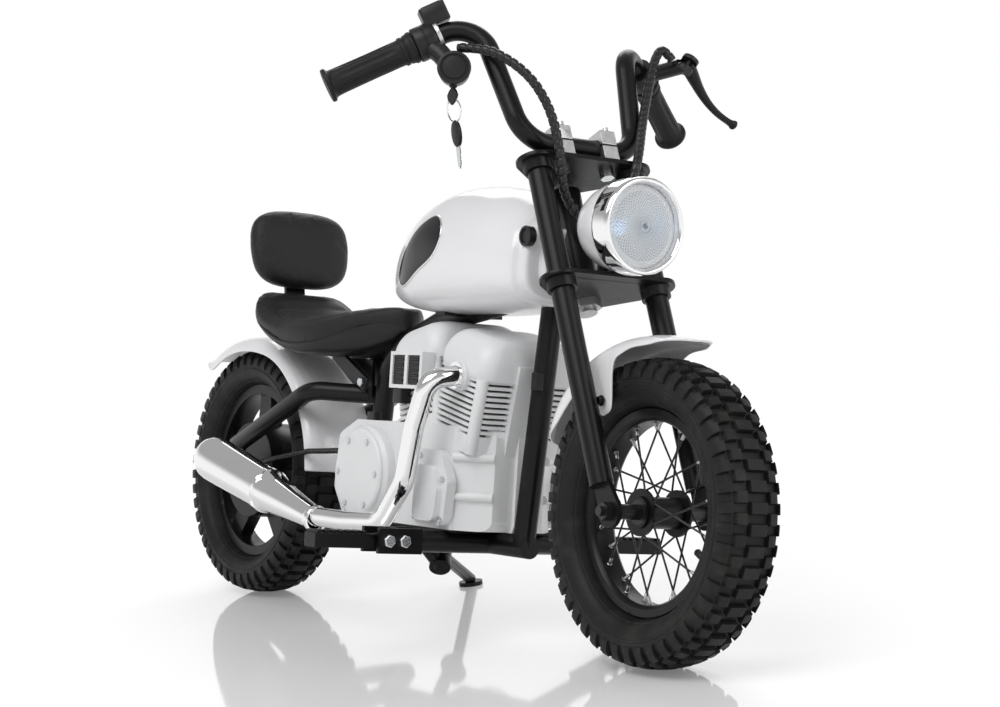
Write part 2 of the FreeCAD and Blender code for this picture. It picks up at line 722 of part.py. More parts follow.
def kickstand():
    """Side stand: eye on the pivot, leg and flat foot on the ground."""
    eye = rod(STAND_PIVOT - STAND_AXIS * (9 - GAP), STAND_PIVOT + STAND_AXIS * 9, STAND_EYE)
    ground = V(STAND_FOOT_X, STAND_FOOT_Y, ground_z(STAND_FOOT_Y))
    foot = plumb(Part.makeCylinder(15, 5, ground, V(0, 0, 1)), ground)
    toe = ground + plumb_direction() * (STAND_RADIUS + 1)
    hole = rod(STAND_PIVOT - STAND_AXIS * 20, STAND_PIVOT + STAND_AXIS * 20, STAND_PIN + FIT)
    root = STAND_PIVOT + (toe - STAND_PIVOT).normalize() * STAND_RADIUS
    return merged([eye, rod(root, toe, STAND_RADIUS), foot]).cut(hole)


def ground_z(y):
    """Height of the ground beside the upright bike, where the leaning tyres will touch it."""
    lean = math.radians(LEAN)
    reach = max(a * math.sin(lean) + r * math.cos(lean) for a, r in tyre_outline(FRONT_RIM_RADIUS))
    return AXLE_Z - reach / math.cos(lean) + y * math.tan(lean)


def plumb_direction():
    """Up, seen from the upright bike, once it leans."""
    lean = math.radians(LEAN)
    return V(0, -math.sin(lean), math.cos(lean))


# Footpegs

def peg_bracket():
    """Steel fork on the right end of the foot bar that holds the peg on a pin."""
    pin_y = -PEG_PIVOT_Y
    inner = pin_y + 44
    outer = pin_y - 12
    low = RAIL_Z - 14
    high = RAIL_Z + 14
    cheek = PEG_HALF_WIDTH + 2
    front = block(FOOT_BAR_X + cheek, FOOT_BAR_X + cheek + PLATE, outer, inner, low, high)
    back = block(FOOT_BAR_X - cheek - PLATE, FOOT_BAR_X - cheek, outer, inner, low, high)
    web = block(FOOT_BAR_X - cheek, FOOT_BAR_X + cheek, pin_y + 12, pin_y + 12 + PLATE, low, high)
    reach = cheek + PLATE + 4
    pins = []
    for y in (pin_y, pin_y + 20):
        pins.append(rod(V(FOOT_BAR_X - reach, y, RAIL_Z), V(FOOT_BAR_X + reach, y, RAIL_Z), PEG_PIN_RADIUS))
    return merged([front, back, web] + pins)


def footpeg():
    """Right folding peg with a ridged tread."""
    y = -PEG_PIVOT_Y
    tip = y - PEG_LENGTH
    x_from = FOOT_BAR_X - PEG_HALF_WIDTH
    x_to = FOOT_BAR_X + PEG_HALF_WIDTH
    tread_z = RAIL_Z + 7
    knuckle = rod(V(x_from, y, RAIL_Z), V(x_to, y, RAIL_Z), 8)
    neck = block(x_from, x_to, y - 12, y, RAIL_Z - 7, tread_z)
    shapes = [knuckle, neck, block(x_from, x_to, tip, y - 10, RAIL_Z - 9, tread_z)]
    pitch = (PEG_LENGTH - 22) / PEG_RIDGES
    for i in range(PEG_RIDGES):
        start = tip + pitch * (i + 0.25)
        shapes.append(block(x_from, x_to, start, start + pitch / 2, tread_z, tread_z + 3))
    bore = rod(V(x_from, y, RAIL_Z), V(x_to, y, RAIL_Z), PEG_PIN_RADIUS + FIT)
    return merged(shapes).cut(bore)


# Engine covers

def tower(x, tilt, height):
    """Finned dummy cylinder with a smooth middle band and a rocker cover, standing on the case."""
    half_x = TOWER_HALF_LENGTH
    half_y = ENGINE_HALF_WIDTH - 3
    outline = rounded_plan(half_x, half_y, 16)
    core = rounded_plan(half_x - FIN_DEPTH, half_y - FIN_DEPTH, 12)
    slot = outline.extrude(V(0, 0, FIN_SLOT)).cut(core.extrude(V(0, 0, FIN_SLOT)))
    slots = []
    for i in range(FIN_COUNT):
        groove = slot.copy()
        groove.translate(V(0, 0, height - 6 - i * FIN_PITCH))
        slots.append(groove)
    finned = outline.extrude(V(0, 0, height)).cut(Part.makeCompound(slots))
    band = block(-half_x - BAND_RISE, half_x + BAND_RISE, -BAND_HALF_WIDTH, BAND_HALF_WIDTH, 0, height + 20)
    post = Part.makeCylinder(RIB_RADIUS, height)
    ribs = []
    for side in (-1, 1):
        rib = post.copy()
        rib.translate(V(half_x - 6, side * (half_y - 6), 0))
        ribs.append(rib)
    cover = Part.makeLoft([
        plan_wire(half_x + 4, half_y + 1, 20, height),
        plan_wire(half_x + 4, half_y + 1, 20, height + 22),
        plan_wire(half_x - 2, half_y - 7, 20, height + 38),
        plan_wire(half_x - 18, half_y - 24, 14, height + COVER_HEIGHT),
    ], True, False)
    whole = merged([finned, band, cover] + ribs)
    whole.rotate(V(0, 0, 0), Y_AXIS, tilt)
    whole.translate(V(x, 0, CASE_TOP_Z - 22))
    return whole


def plan_wire(half_x, half_y, radius, z):
    """Rounded rectangle seen from above."""
    wire = rounded_wire(0, half_y, -half_x, half_x, radius)
    wire.rotate(V(0, 0, 0), Y_AXIS, 90)
    wire.translate(V(0, 0, z))
    return wire


def rounded_plan(half_x, half_y, radius):
    """Face of a rounded rectangle seen from above."""
    return Part.Face(plan_wire(half_x, half_y, radius, 0))


def engine_body():
    """Both engine halves in one, with chamfered front corners, hollow for the battery."""
    front = ENGINE_FRONT_X
    rear = ENGINE_REAR_X
    low = PLATE_TOP_Z
    half = ENGINE_HALF_WIDTH
    outline = [
        (front, low), (rear + 26, low), (rear, low + 34), (rear + 6, CASE_TOP_Z - 18),
        (rear + 46, CASE_TOP_Z), (front, CASE_TOP_Z),
    ]
    case = plate_xz(outline, -half, half, 12)
    corner = [V(front - CHAMFER, -half, 0), V(front, -half + CHAMFER, 0), V(front, -half, 0)]
    wedge = Part.Face(Part.makePolygon(corner + corner[:1])).extrude(V(0, 0, CASE_TOP_Z + 1))
    case = case.cut(wedge).cut(mirrored(wedge))
    seam = plate_xz(outline, -SEAM_HALF_WIDTH, SEAM_HALF_WIDTH, 12).makeOffsetShape(SEAM_RISE, 0.1, join=2)
    trim = block(rear - 20, front + 20, -SEAM_HALF_WIDTH, SEAM_HALF_WIDTH, low, CASE_TOP_Z + SEAM_RISE)
    seam = seam.common(trim)
    shapes = [case, seam, exhaust_boss()]
    shapes.append(tower(FRONT_TOWER_X, TOWER_TILT, TOWER_HEIGHT))
    shapes.append(tower(REAR_TOWER_X, -TOWER_TILT, TOWER_HEIGHT + 8))
    for z in (low + 38, low + 82):
        rib = rod(V(front - CHAMFER, -half, z), V(front, -half + CHAMFER, z), 5)
        shapes += [rib, mirrored(rib)]
    body = merged(shapes)
    hollow = block(rear + 44, front - CHAMFER - 8, -half + 6, half - 6, low + SKIN, CASE_TOP_Z - 12)
    return body.cut(hollow).cut(spine(TUBE + GAP)).cut(down_tube(TUBE + GAP))


def exhaust_boss():
    """Round boss on the front cylinder where the pipe leaves."""
    return across(EXHAUST_PORT.x, EXHAUST_PORT.z, -ENGINE_HALF_WIDTH / 2, PORT_FACE_Y, 17)


def right_of_middle(body):
    """Room to the right of the bike's middle plane, around a body."""
    room = body.BoundBox
    return block(room.XMin - 1, room.XMax + 1, room.YMin - 1, 0, room.ZMin - 1, room.ZMax + 1)


def engine_case_right(body):
    """Right half of the engine cover."""
    return body.common(right_of_middle(body))


def engine_case_left(body):
    """Left half of the engine cover, with its side covers moulded on."""
    half = body.cut(right_of_middle(body))
    return merged([half, mirrored(clutch_cover()), mirrored(gear_cover(body))])


def clutch_cover():
    """Round cover low at the rear of the right case, stepped in twice towards its face."""
    y = -ENGINE_HALF_WIDTH
    profile = [
        (0, 0), (0, CLUTCH_RADIUS + 4), (10, CLUTCH_RADIUS + 4), (14, CLUTCH_RADIUS),
        (17, CLUTCH_RADIUS), (19, CLUTCH_RADIUS - 3), (19, 0),
    ]
    return turned_profile(profile, V(CLUTCH_X, y, CLUTCH_Z), V(0, -1, 0), V(1, 0, 0))


def gear_cover(body):
    """Rounded cover low at the front of the right case."""
    y = -ENGINE_HALF_WIDTH
    outline = [
        (GEAR_X - 34, GEAR_Z - 40), (GEAR_X + 28, GEAR_Z - 40), (GEAR_X + 34, GEAR_Z + 10),
        (GEAR_X + 16, GEAR_Z + 44), (GEAR_X - 30, GEAR_Z + 44),
    ]
    inner = [(GEAR_X + (x - GEAR_X) * 0.72, GEAR_Z + (z - GEAR_Z) * 0.74 - 6) for x, z in outline]
    return merged([plate_xz(outline, y - 12, y, 12), plate_xz(inner, y - 20, y - 12, 10)]).cut(body)


def engine_screws():
    """Cover screws: a ring on the clutch cover and four on the gear cover."""
    centre = V(CLUTCH_X, -ENGINE_HALF_WIDTH - 19, CLUTCH_Z)
    screws = ring_of(engine_screw(centre + V(0, 0, CLUTCH_RADIUS - 10)), centre, Y_AXIS, 6, 30)
    step = -ENGINE_HALF_WIDTH - 12
    for x, z in ((-29, -33), (24, -33), (25, 12), (-24, 37)):
        screws.append(engine_screw(V(GEAR_X + x, step, GEAR_Z + z)))
    return Part.makeCompound(screws)


def engine_screw(seat):
    """Round screw head standing out to the right."""
    return rod(seat, seat - Y_AXIS * SCREW_HEIGHT, SCREW_RADIUS)


def air_box(body):
    """Dummy air cleaner between the cylinders, with two recessed windows."""
    half = ENGINE_HALF_WIDTH
    box = block(AIR_X - 34, AIR_X + 34, -half - 14, -half + 3, AIR_Z - 21, AIR_Z + 21)
    for side in (-1, 1):
        x = AIR_X + side * 16
        box = box.cut(block(x - 13, x + 13, -half - 15, -half - 10, AIR_Z - 17, AIR_Z + 17))
    return box.cut(body)


def battery_pack():
    """Sealed battery standing on the floor of the engine cover."""
    low = PLATE_TOP_Z + SKIN
    high = CASE_TOP_Z - 31
    half = ENGINE_HALF_WIDTH - 14
    rear = ENGINE_REAR_X + 62
    front = ENGINE_FRONT_X - 66
    case = block(rear, front, -half, half, low, high)
    lid = block(rear + 6, front - 6, -half + 6, half - 6, high, high + 6)
    return merged([case, lid])


# Exhaust

def exhaust_header(body):
    """Chrome pipe from its flange on the front cylinder down to the silencer."""
    x = EXHAUST_PORT.x
    z = EXHAUST_PORT.z
    points = [
        V(x, PORT_FACE_Y, z), V(x - 8, EXHAUST_Y + 4, z - 6), V(x - 26, EXHAUST_Y, z - 60),
        V(x - 40, EXHAUST_Y, z - 122), V(x - 82, EXHAUST_Y, PIPE_LOW_Z + 4), V(x - 160, EXHAUST_Y, PIPE_LOW_Z),
        V(MUFFLER_START, EXHAUST_Y, PIPE_LOW_Z),
    ]
    flange = across(x, z, PORT_FACE_Y - 4, PORT_FACE_Y, 15)
    return tube(points, PIPE_RADIUS, 34).fuse(flange).cut(body)


def exhaust_muffler(header):
    """Tapered silencer with two bands and a rounded end, hung from the right lower stay."""
    start = V(MUFFLER_START, EXHAUST_Y, PIPE_LOW_Z)
    end = V(MUFFLER_END, EXHAUST_Y, PIPE_LOW_Z + MUFFLER_RISE)
    run = (end - start).Length
    r = MUFFLER_RADIUS
    profile = [
        (0, 0), (0, PIPE_RADIUS + 4), (12, PIPE_RADIUS + 4), (12, PIPE_RADIUS + 2.5),
        (run * 0.38, r - 2), (run * 0.38, r), (run * 0.38 + 9, r), (run * 0.38 + 9, r - 1),
        (run - 30, r + 1), (run - 12, r - 4), (run - 3, r - 12), (run, r - 22), (run, 0),
    ]
    can = turned_profile(profile, start, end - start, V(0, 1, 0))
    hanger = block(REAR_X + 136, REAR_X + 152, EXHAUST_Y + 12, -STAY_Y - STAY + 2, RAIL_Z + 18, RAIL_Z + 34)
    stay = rear_stays(-1)[1]
    return merged([can, hanger]).cut(stay).cut(header)


# Tank

def tank_shell():
    """Teardrop cover over the backbone, stepped in at the steering head and open below and in front."""
    body = merged([lofted(TANK), lofted(NECK)])
    inside = [(x + 2 * SKIN, w, low, high, r) for x, w, low, high, r in shrunk(NECK, SKIN)]
    hollow = merged([lofted(shrunk(TANK, SKIN)), lofted(inside)])
    clear = HEAD_TUBE_RADIUS + 2
    mouth = block(TANK[0][0] + 22, TANK_X, -clear, clear, TANK_LOW_Z - 28, TANK_LOW_Z + 52)
    head = rod(steer_point(0, 0, -50), steer_point(0, 0, CLAMP_SPACING + 50), clear)
    notch = block(NECK[0][0] + 30, TANK_X + 1, -clear, clear, TANK_LOW_Z + 12, NECK[0][3] + 1)
    return body.cut(hollow).cut(mouth).cut(head).cut(notch)


def tank_badge():
    """Bare teardrop plate on the right flank of the tank."""
    corners = ((244, 24), (150, 62), (146, 112), (196, 104))
    outline = [(TANK_X - back, TANK_LOW_Z + rise) for back, rise in corners]
    plate = plate_xz(outline, -100, -50, 13)
    skin = lofted([(x, w + 2, low - 2, high + 2, r + 2) for x, w, low, high, r in TANK])
    return plate.common(skin).cut(lofted(TANK))


def charge_socket():
    """Round charging socket on the right of the tank's neck."""
    y = -NECK[1][1] - SOCKET_STANDOUT
    body = across(SOCKET_X, SOCKET_Z, y, y + SOCKET_STANDOUT, SOCKET_RADIUS)
    return body.cut(across(SOCKET_X, SOCKET_Z, y, y + SOCKET_DEPTH, SOCKET_BORE)).cut(lofted(NECK))


def motor_controller():
    """Finned control box on top of the backbone under the tank."""
    low = BACKBONE_Z - 14
    high = low + 50
    rear = TANK_X - 228
    front = TANK_X - 128
    box = block(rear, front, -32, 32, low, high)
    for i in range(7):
        y = -27 + i * 8.0
        box = box.cut(block(rear, front, y, y + 4, high - 5, high))
    return box.cut(spine(TUBE))


# Seat

def seat_pan():
    """Moulded pan under the seat pad, hollowed over the backbone."""
    body = lofted([(x, w, low, low + PAN_HEIGHT, 7) for x, w, low, _ in SEAT_STATIONS])
    return body.cut(spine(TUBE + SEAT))


def seat_pad(pan):
    """Padded seat, crowned over the pan and lapping its edge."""
    lap = PAN_HEIGHT - 6
    body = lofted([(x, w + PAD_OVERHANG, low + lap, high, 20) for x, w, low, high in SEAT_STATIONS])
    return body.cut(pan).cut(spine(TUBE + SEAT)).cut(backrest_post())


def seat_bracket(pan):
    """Right sheet bracket from the rear frame node up to the seat pan."""
    x = SEAT_TUBE_X
    z = SEAT_Z
    outline = [(x - 8, z - 48), (x + 10, z - 48), (x + 6, z + 8), (x - 84, z + 12), (x - 90, z - 2)]
    return plate_xz(outline, -TUBE - 2, -TUBE + 2, 3).cut(pan)


def reclined(shape):
    """Lean a part of the backrest from the top of the seat pan."""
    return turned(shape, V(BACKREST_X, 0, SEAT_STATIONS[-1][2] + PAN_HEIGHT), Y_AXIS, BACKREST_TILT)


def backrest_post():
    """Flat steel strip behind the seat pan, bent back behind the backrest pad."""
    bend = SEAT_STATIONS[-1][2] + PAN_HEIGHT
    low = block(BACKREST_X - PLATE, BACKREST_X, -14, 14, bend - 28, bend + 1)
    high = block(BACKREST_X - PLATE, BACKREST_X, -14, 14, bend - 1, BACKREST_Z + 24)
    return merged([low, reclined(high)])


def backrest_pad():
    """Padded backrest with a crowned face, narrower at the bottom."""
    pad = lofted([(0, 58, -38, 38, 26), (10, 68, -49, 49, 30), (24, 68, -49, 49, 30), (34, 56, -36, 36, 26)])
    pad.translate(V(BACKREST_X, 0, BACKREST_Z))
    return reclined(pad)


# Fenders

def fender(x, inner, half_width, rear_angle, front_angle):
    """Rolled mudguard around an axle, between two angles from straight up."""
    centre = V(x, 0, AXLE_Z)
    w = half_width
    top = inner + FENDER_CROWN
    low = inner - FENDER_SKIRT
    outside = [(w, low), (w, inner), (w * 0.7, top - 3)]
    inside = [(w - SKIN, low), (w - SKIN, inner - 1), (w * 0.66, top - 6)]
    crown = [(-y, r) for y, r in outside] + [(0, top)] + outside[::-1]
    under = inside + [(0, top - SKIN)] + [(-y, r) for y, r in reversed(inside)]
    profile = [centre + V(0, y, r) for y, r in crown + under]
    face = Part.Face(Part.makePolygon(profile + profile[:1]))
    face.rotate(centre, Y_AXIS, rear_angle)
    return face.revolve(centre, Y_AXIS, front_angle - rear_angle)


def rear_fender():
    """Mudguard over the rear wheel, from the tail to in front of the tyre."""
    inner = TYRE_RADIUS + REAR_FENDER_GAP
    return fender(REAR_X, inner, STAY_Y - STAY - SEAT, REAR_FENDER_TAIL, REAR_FENDER_NOSE)


def front_fender():
    """Short mudguard over the front wheel, drawn to a beak, with an ear bolted to each fork leg."""
    w = FRONT_FENDER_HALF_WIDTH
    inner = TYRE_RADIUS + FRONT_FENDER_GAP
    guard = fender(0, inner, w, FRONT_FENDER_TAIL, FRONT_FENDER_NOSE).common(beak_plan(inner, w))
    bolt = steer_point(FORK_OFFSET + EAR_LEAD, 0, EAR_RISE - CLAMP_RISE)
    root = [around_axle(inner + rise, angle) for rise, angle in ((4, -36), (6, -22), (-3, -7))]
    lobe = [(bolt.x + 18, bolt.z - 6), (bolt.x + 6, bolt.z - 14), (bolt.x - 6, bolt.z - 6)]
    ear = plate_xz(root + lobe, -w, -w + SKIN, 8)
    leg_inside = -FORK_HALF_SPACING + FORK_TUBE_RADIUS
    side = ear.fuse(across(bolt.x, bolt.z, leg_inside + SEAT, -w + SKIN + 3, 6))
    return merged([guard, side, mirrored(side)])


def around_axle(radius, angle):
    """A place (x, z) around the front axle, at an angle ahead of straight up."""
    turn = math.radians(angle)
    return radius * math.sin(turn), AXLE_Z + radius * math.cos(turn)


def beak_plan(inner, half_width):
    """Room over the front wheel, full width at the back and drawn to a blunt point in front."""
    top = inner + FENDER_CROWN
    edge = half_width + 1
    sides = ((-90, edge), (-5, edge), (6, half_width - 3), (14.5, 25), (19, 7))
    beak = [(around_axle(top, angle)[0], y) for angle, y in sides]
    plan = beak + [(x, -y) for x, y in reversed(beak)]
    wire = Part.makePolygon([V(x, y, AXLE_Z - top) for x, y in plan + plan[:1]])
    return Part.Face(wire).extrude(V(0, 0, 2 * top + SKIN))


# Steering parts

def clamp_plate(rise):
    """Triangular clamp plate with a collar for each fork tube."""
    centres = [V(FORK_OFFSET, -FORK_HALF_SPACING, 0), V(FORK_OFFSET, FORK_HALF_SPACING, 0), V(0, 0, 0)]
    face = Part.Face(Part.makePolygon(centres + centres[:1])).makeOffset2D(CLAMP_BOSS)
    plate = face.extrude(V(0, 0, PLATE))
    shapes = [plate]
    for c in centres[:2]:
        collar = Part.makeCylinder(FORK_TUBE_RADIUS + COLLAR_WALL, COLLAR_HEIGHT, c - V(0, 0, COLLAR_HEIGHT))
        shapes.append(collar)
    plate = merged(shapes)
    for c in centres[:2]:
        plate = plate.cut(Part.makeCylinder(FORK_TUBE_RADIUS, 60, c - V(0, 0, 30)))
    plate = plate.cut(Part.makeCylinder(STEM_RADIUS, 60, V(0, 0, -30)))
    plate.translate(V(0, 0, rise - PLATE / 2))
    return steered(plate)


def steering_stem():
    """Stem through the head tube with a nut under the lower clamp and over the upper one."""
    low = -PLATE / 2
    high = CLAMP_SPACING + PLATE / 2
    bar = Part.makeCylinder(STEM_RADIUS, high - low + 26, V(0, 0, low - 14))
    nut_low = hexagon(V(0, 0, low), V(0, 0, -1), 17, 9)
    nut_high = hexagon(V(0, 0, high), V(0, 0, 1), 17, 9)
    return steered(merged([bar, nut_low, nut_high]))


def headset_bearings():
    """Bearing cup pressed into each end of the head tube."""
    bore = Part.makeCylinder(STEM_RADIUS + FIT, CLAMP_SPACING)
    cups = []
    for z in (HEAD_GAP, CLAMP_SPACING - HEAD_GAP - PLATE - CUP_HEIGHT):
        cups.append(Part.makeCylinder(CUP_RADIUS, CUP_HEIGHT, V(0, 0, z)).cut(bore))
    return steered(Part.makeCompound(cups))


def fork_leg():
    """Right fork tube with the flat axle plate welded into its lower end."""
    y = -FORK_HALF_SPACING
    bottom = -CLAMP_RISE + TUBE_END_RISE
    tube_length = CLAMP_SPACING + PLATE - bottom
    leg = Part.makeCylinder(FORK_TUBE_RADIUS, tube_length, V(FORK_OFFSET, y, bottom))
    spread = DROPOUT_RADIUS - 1
    foot = -CLAMP_RISE + 4
    corners = [
        V(FORK_OFFSET - 9, y, bottom + 16), V(FORK_OFFSET + 9, y, bottom + 16),
        V(AXLE_REACH + spread, y, foot), V(AXLE_REACH - spread, y, foot),
    ]
    tab = Part.Face(Part.makePolygon(corners + corners[:1])).extrude(V(0, PLATE, 0))
    tab.translate(V(0, -PLATE / 2, 0))
    eye = Part.makeCylinder(DROPOUT_RADIUS, PLATE, V(AXLE_REACH, y - PLATE / 2, -CLAMP_RISE), Y_AXIS)
    hole = Part.makeCylinder(FRONT_AXLE_RADIUS, 40, V(AXLE_REACH, y - 20, -CLAMP_RISE), Y_AXIS)
    return steered(merged([leg, tab, eye]).cut(hole))


def handlebar():
    """One bent tube from grip to grip."""
    right = [BAR_END - GRIP_AXIS * 3, BAR_TOP, BAR_KNEE]
    left = [other_side(p) for p in reversed(right)]
    return tube(right + left, BAR_RADIUS, BAR_BEND)


def bar_clamp(bar):
    """Right split clamp that stands on the upper plate and holds the bar."""
    base = CLAMP_SPACING + PLATE / 2
    top = CLAMP_SPACING + BAR_RISE + BAR_RADIUS + 7
    body = block(BAR_REACH - 16, BAR_REACH + 16, -RISER_Y - 10, -RISER_Y + 10, base, top)
    split = block(BAR_REACH - 17, BAR_REACH + 17, -RISER_Y - 11, -RISER_Y + 11, top - 19, top - 17)
    return steered(body.cut(split)).cut(bar)


def clamp_bolts():
    """Pairs of bolts on the bar clamps and nuts under the upper plate."""
    top = CLAMP_SPACING + BAR_RISE + BAR_RADIUS + 7
    bolts = []
    for y in (-RISER_Y, RISER_Y):
        for reach in (BAR_REACH - 13.0, BAR_REACH + 13.0):
            bolts.append(Part.makeCylinder(3.0, 4, V(reach, y, top)))
        bolts.append(hexagon(V(BAR_REACH, y, CLAMP_SPACING - PLATE / 2), V(0, 0, -1), 8, 8))
    return steered(Part.makeCompound(bolts))


# Headlight

def lamp_outline():
    """Outside of the lamp body from its back to the bezel, as (x, radius) corners."""
    r = LAMP_RADIUS - 3
    back = LAMP_X - LAMP_DEPTH
    return [
        (back, 0), (back, 18), (back + 6, 30), (back + 18, 41), (back + 36, 47), (LAMP_X - 26, r),
        (LAMP_X - 12, r),
    ]


def headlight_bowl():
    """Round lamp body, open to the front."""
    r = LAMP_RADIUS - 3
    back = LAMP_X - LAMP_DEPTH
    inner = [
        (LAMP_X - 12, r - 2), (LAMP_X - 26, r - 2), (back + 38, 44), (back + 20, 37), (back + 4, 14),
        (back + 4, 0),
    ]
    return lamp_profile(lamp_outline() + inner)


def headlight_bezel():
    """Wide bright band that holds the lens."""
    r = LAMP_RADIUS
    return lamp_profile([
        (LAMP_X - 26, r - 3), (LAMP_X - 26, r), (LAMP_X - 2, r), (LAMP_X, r - 3), (LAMP_X, r - 6),
        (LAMP_X - 8, r - 8), (LAMP_X - 12, r - 8), (LAMP_X - 12, r - 3),
    ])


def headlight_lens():
    """Domed clear lens."""
    r = LAMP_RADIUS - 8
    return lamp_profile([
        (LAMP_X - 12, 0), (LAMP_X - 12, r), (LAMP_X - 9, r), (LAMP_X - 4, r * 0.6), (LAMP_X - 2, 0),
    ])


def headlight_reflector():
    """Bright dish behind the lens with the bulb in its middle."""
    r = LAMP_RADIUS - 10
    back = LAMP_X - LAMP_DEPTH
    dish = [
        (back + 30, 8), (back + 44, 30), (LAMP_X - 13, r), (LAMP_X - 16, r), (back + 40, 29), (back + 26, 8),
    ]
    bulb = lamp_profile([(back + 4, 0), (back + 4, 8), (back + 46, 8), (back + 52, 5), (back + 54, 0)])
    return merged([lamp_profile(dish), bulb])


def headlight_bracket(clamp):
    """Post from the lower clamp up to the lamp body."""
    foot = steer_point(34, 0, 1)
    post = rod(foot, V(foot.x, 0, LAMP_Z - 20), 7)
    return post.cut(lamp_solid()).cut(clamp)


# Hand controls

def along_grip(start, end, radius):
    """Round body around the right bar end between two distances from the grip's inner end."""
    return rod(GRIP_INNER + GRIP_AXIS * start, GRIP_INNER + GRIP_AXIS * end, radius)


def grip(bore):
    """Hand grip with a flange at each end, closed at the outer one."""
    inner_flange = along_grip(0, 4, GRIP_FLANGE - 1)
    outer_flange = along_grip(GRIP_LENGTH - 5, GRIP_LENGTH, GRIP_FLANGE)
    body = merged([along_grip(0, GRIP_LENGTH, GRIP_RADIUS), inner_flange, outer_flange])
    return body.cut(along_grip(-10, GRIP_LENGTH - 3, bore))


def throttle_housing(bar):
    """Throttle body with the battery gauge on top and the key lock below."""
    start = -CONTROL_WIDTH - GAP
    drum = along_grip(start, -GAP, CONTROL_RADIUS)
    middle = GRIP_INNER + GRIP_AXIS * (start - GAP) / 2
    gauge = block(middle.x - 18, middle.x + 20, middle.y - 4, middle.y + 32, middle.z + 12, middle.z + 36)
    lock = Part.makeCylinder(LOCK_RADIUS, LOCK_HIGH - LOCK_LOW, V(LOCK.x, LOCK.y, LOCK_LOW))
    arm = rod(V(LOCK.x, LOCK.y, LOCK_HIGH - 12), middle, 11)
    body = merged([drum, gauge, lock, arm])
    key_way = Part.makeCylinder(KEY_RADIUS + FIT, 20, V(LOCK.x, LOCK.y, LOCK_LOW - 1))
    return body.cut(bar).cut(key_way)


def ignition_key():
    """Key in the lock, its head below."""
    stem = Part.makeCylinder(KEY_RADIUS, 24, V(LOCK.x, LOCK.y, LOCK_LOW - 8))
    head = block(LOCK.x - 9, LOCK.x + 9, LOCK.y - 2, LOCK.y + 2, LOCK_LOW - 22, LOCK_LOW - 6)
    hole = across(LOCK.x, RING_PIVOT.z, LOCK.y - 9, LOCK.y + 9, 3)
    return merged([stem, head]).cut(hole)


def spare_key():
    """Spare key hanging from a wire ring through the head of the first."""
    drop = RING_PIVOT - V(0, 0, RING_RADIUS)
    ring = Part.makeTorus(RING_RADIUS, RING_WIRE, drop, V(1, 0, 0))
    low = drop.z - RING_RADIUS
    head = block(drop.x - 7, drop.x + 7, drop.y - 2, drop.y + 2, low - 26, low + 1)
    blade = block(drop.x - 3, drop.x + 3, drop.y - 1, drop.y + 1, low - 54, low - 26)
    return plumb(merged([ring, head, blade]), RING_PIVOT)


def brake_perch(bar):
    """Clamp on the left bar end with an arm to the lever pivot."""
    inner = other_side(GRIP_INNER)
    axis = V(GRIP_AXIS.x, -GRIP_AXIS.y, GRIP_AXIS.z)
    drum = rod(inner - axis * (CONTROL_WIDTH + GAP), inner - axis * GAP, CONTROL_RADIUS - 3)
    middle = inner - axis * CONTROL_WIDTH / 2
    arm = rod(middle, LEVER_PIVOT, 9)
    pin_axis = lever_axis()
    pad = rod(LEVER_PIVOT - pin_axis * 9, LEVER_PIVOT + pin_axis * 9, 10)
    body = merged([drum, arm, pad]).cut(bar)
    room = pin_axis * (LEVER_HALF_THICKNESS + GAP)
    slot = rod(LEVER_PIVOT - room, LEVER_PIVOT + room, 14)
    pin = rod(LEVER_PIVOT - pin_axis * 9, LEVER_PIVOT + pin_axis * 9, LEVER_PIN_RADIUS)
    return body.cut(slot).fuse(pin)


def lever_axis():
    """Pivot of the brake lever, square to the lever and the grip."""
    axis = V(GRIP_AXIS.x, -GRIP_AXIS.y, GRIP_AXIS.z)
    return (LEVER_TIP - LEVER_PIVOT).cross(axis).normalize()


def brake_lever():
    """Bent lever blade with a ball end."""
    axis = lever_axis()
    half = axis * LEVER_HALF_THICKNESS
    eye = rod(LEVER_PIVOT - half, LEVER_PIVOT + half, 9)
    knee = LEVER_KNEE - axis * (LEVER_KNEE - LEVER_PIVOT).dot(axis)
    root = LEVER_PIVOT + (knee - LEVER_PIVOT) * 0.2
    blade = tube([root, knee, LEVER_TIP], 3.7, 60)
    ball = [(-7, 0), (-7, 3), (-4, 6), (3, 6), (7, 3), (7, 0)]
    knob = turned_profile(ball, LEVER_TIP, LEVER_TIP - knee, axis)
    hole = rod(LEVER_PIVOT - half, LEVER_PIVOT + half, LEVER_PIN_RADIUS + FIT)
    return merged([eye, blade, knob]).cut(hole)


def lamp_solid():
    """The lamp body without its hollow."""
    return lamp_profile(lamp_outline() + [(LAMP_X - 12, 0)])


def throttle_loom(housing):
    """Wrapped cable from the lock over the upper clamp into the back of the lamp."""
    points = [
        V(-240, -125, 647), V(-214, -113, 646), V(-190, -99, 637), V(-166, -80, 616), V(-151, -66, 588),
        V(-143, -58, 560), V(-138, -52, 526), V(-146, -42, 496), V(-150, -24, 474), V(-134, -10, 462),
    ]
    return tube(points, LOOM_RADIUS, 40).cut(housing).cut(lamp_solid())


def brake_loom(perch, clamp):
    """Wrapped brake cable from the lever down to the guide in the lower clamp."""
    points = [
        V(-218, 151, 668), V(-222, 140, 683), V(-216, 124, 666), V(-200, 105, 624), V(-180, 85, 586),
        V(-142, 54, 542), V(-138, 46, 520), V(-144, 38, 488), V(-144, 33, 458), V(-138, 27, 430),
        steer_point(14, 26, 1),
    ]
    return tube(points, LOOM_RADIUS, 40).cut(perch).cut(clamp)


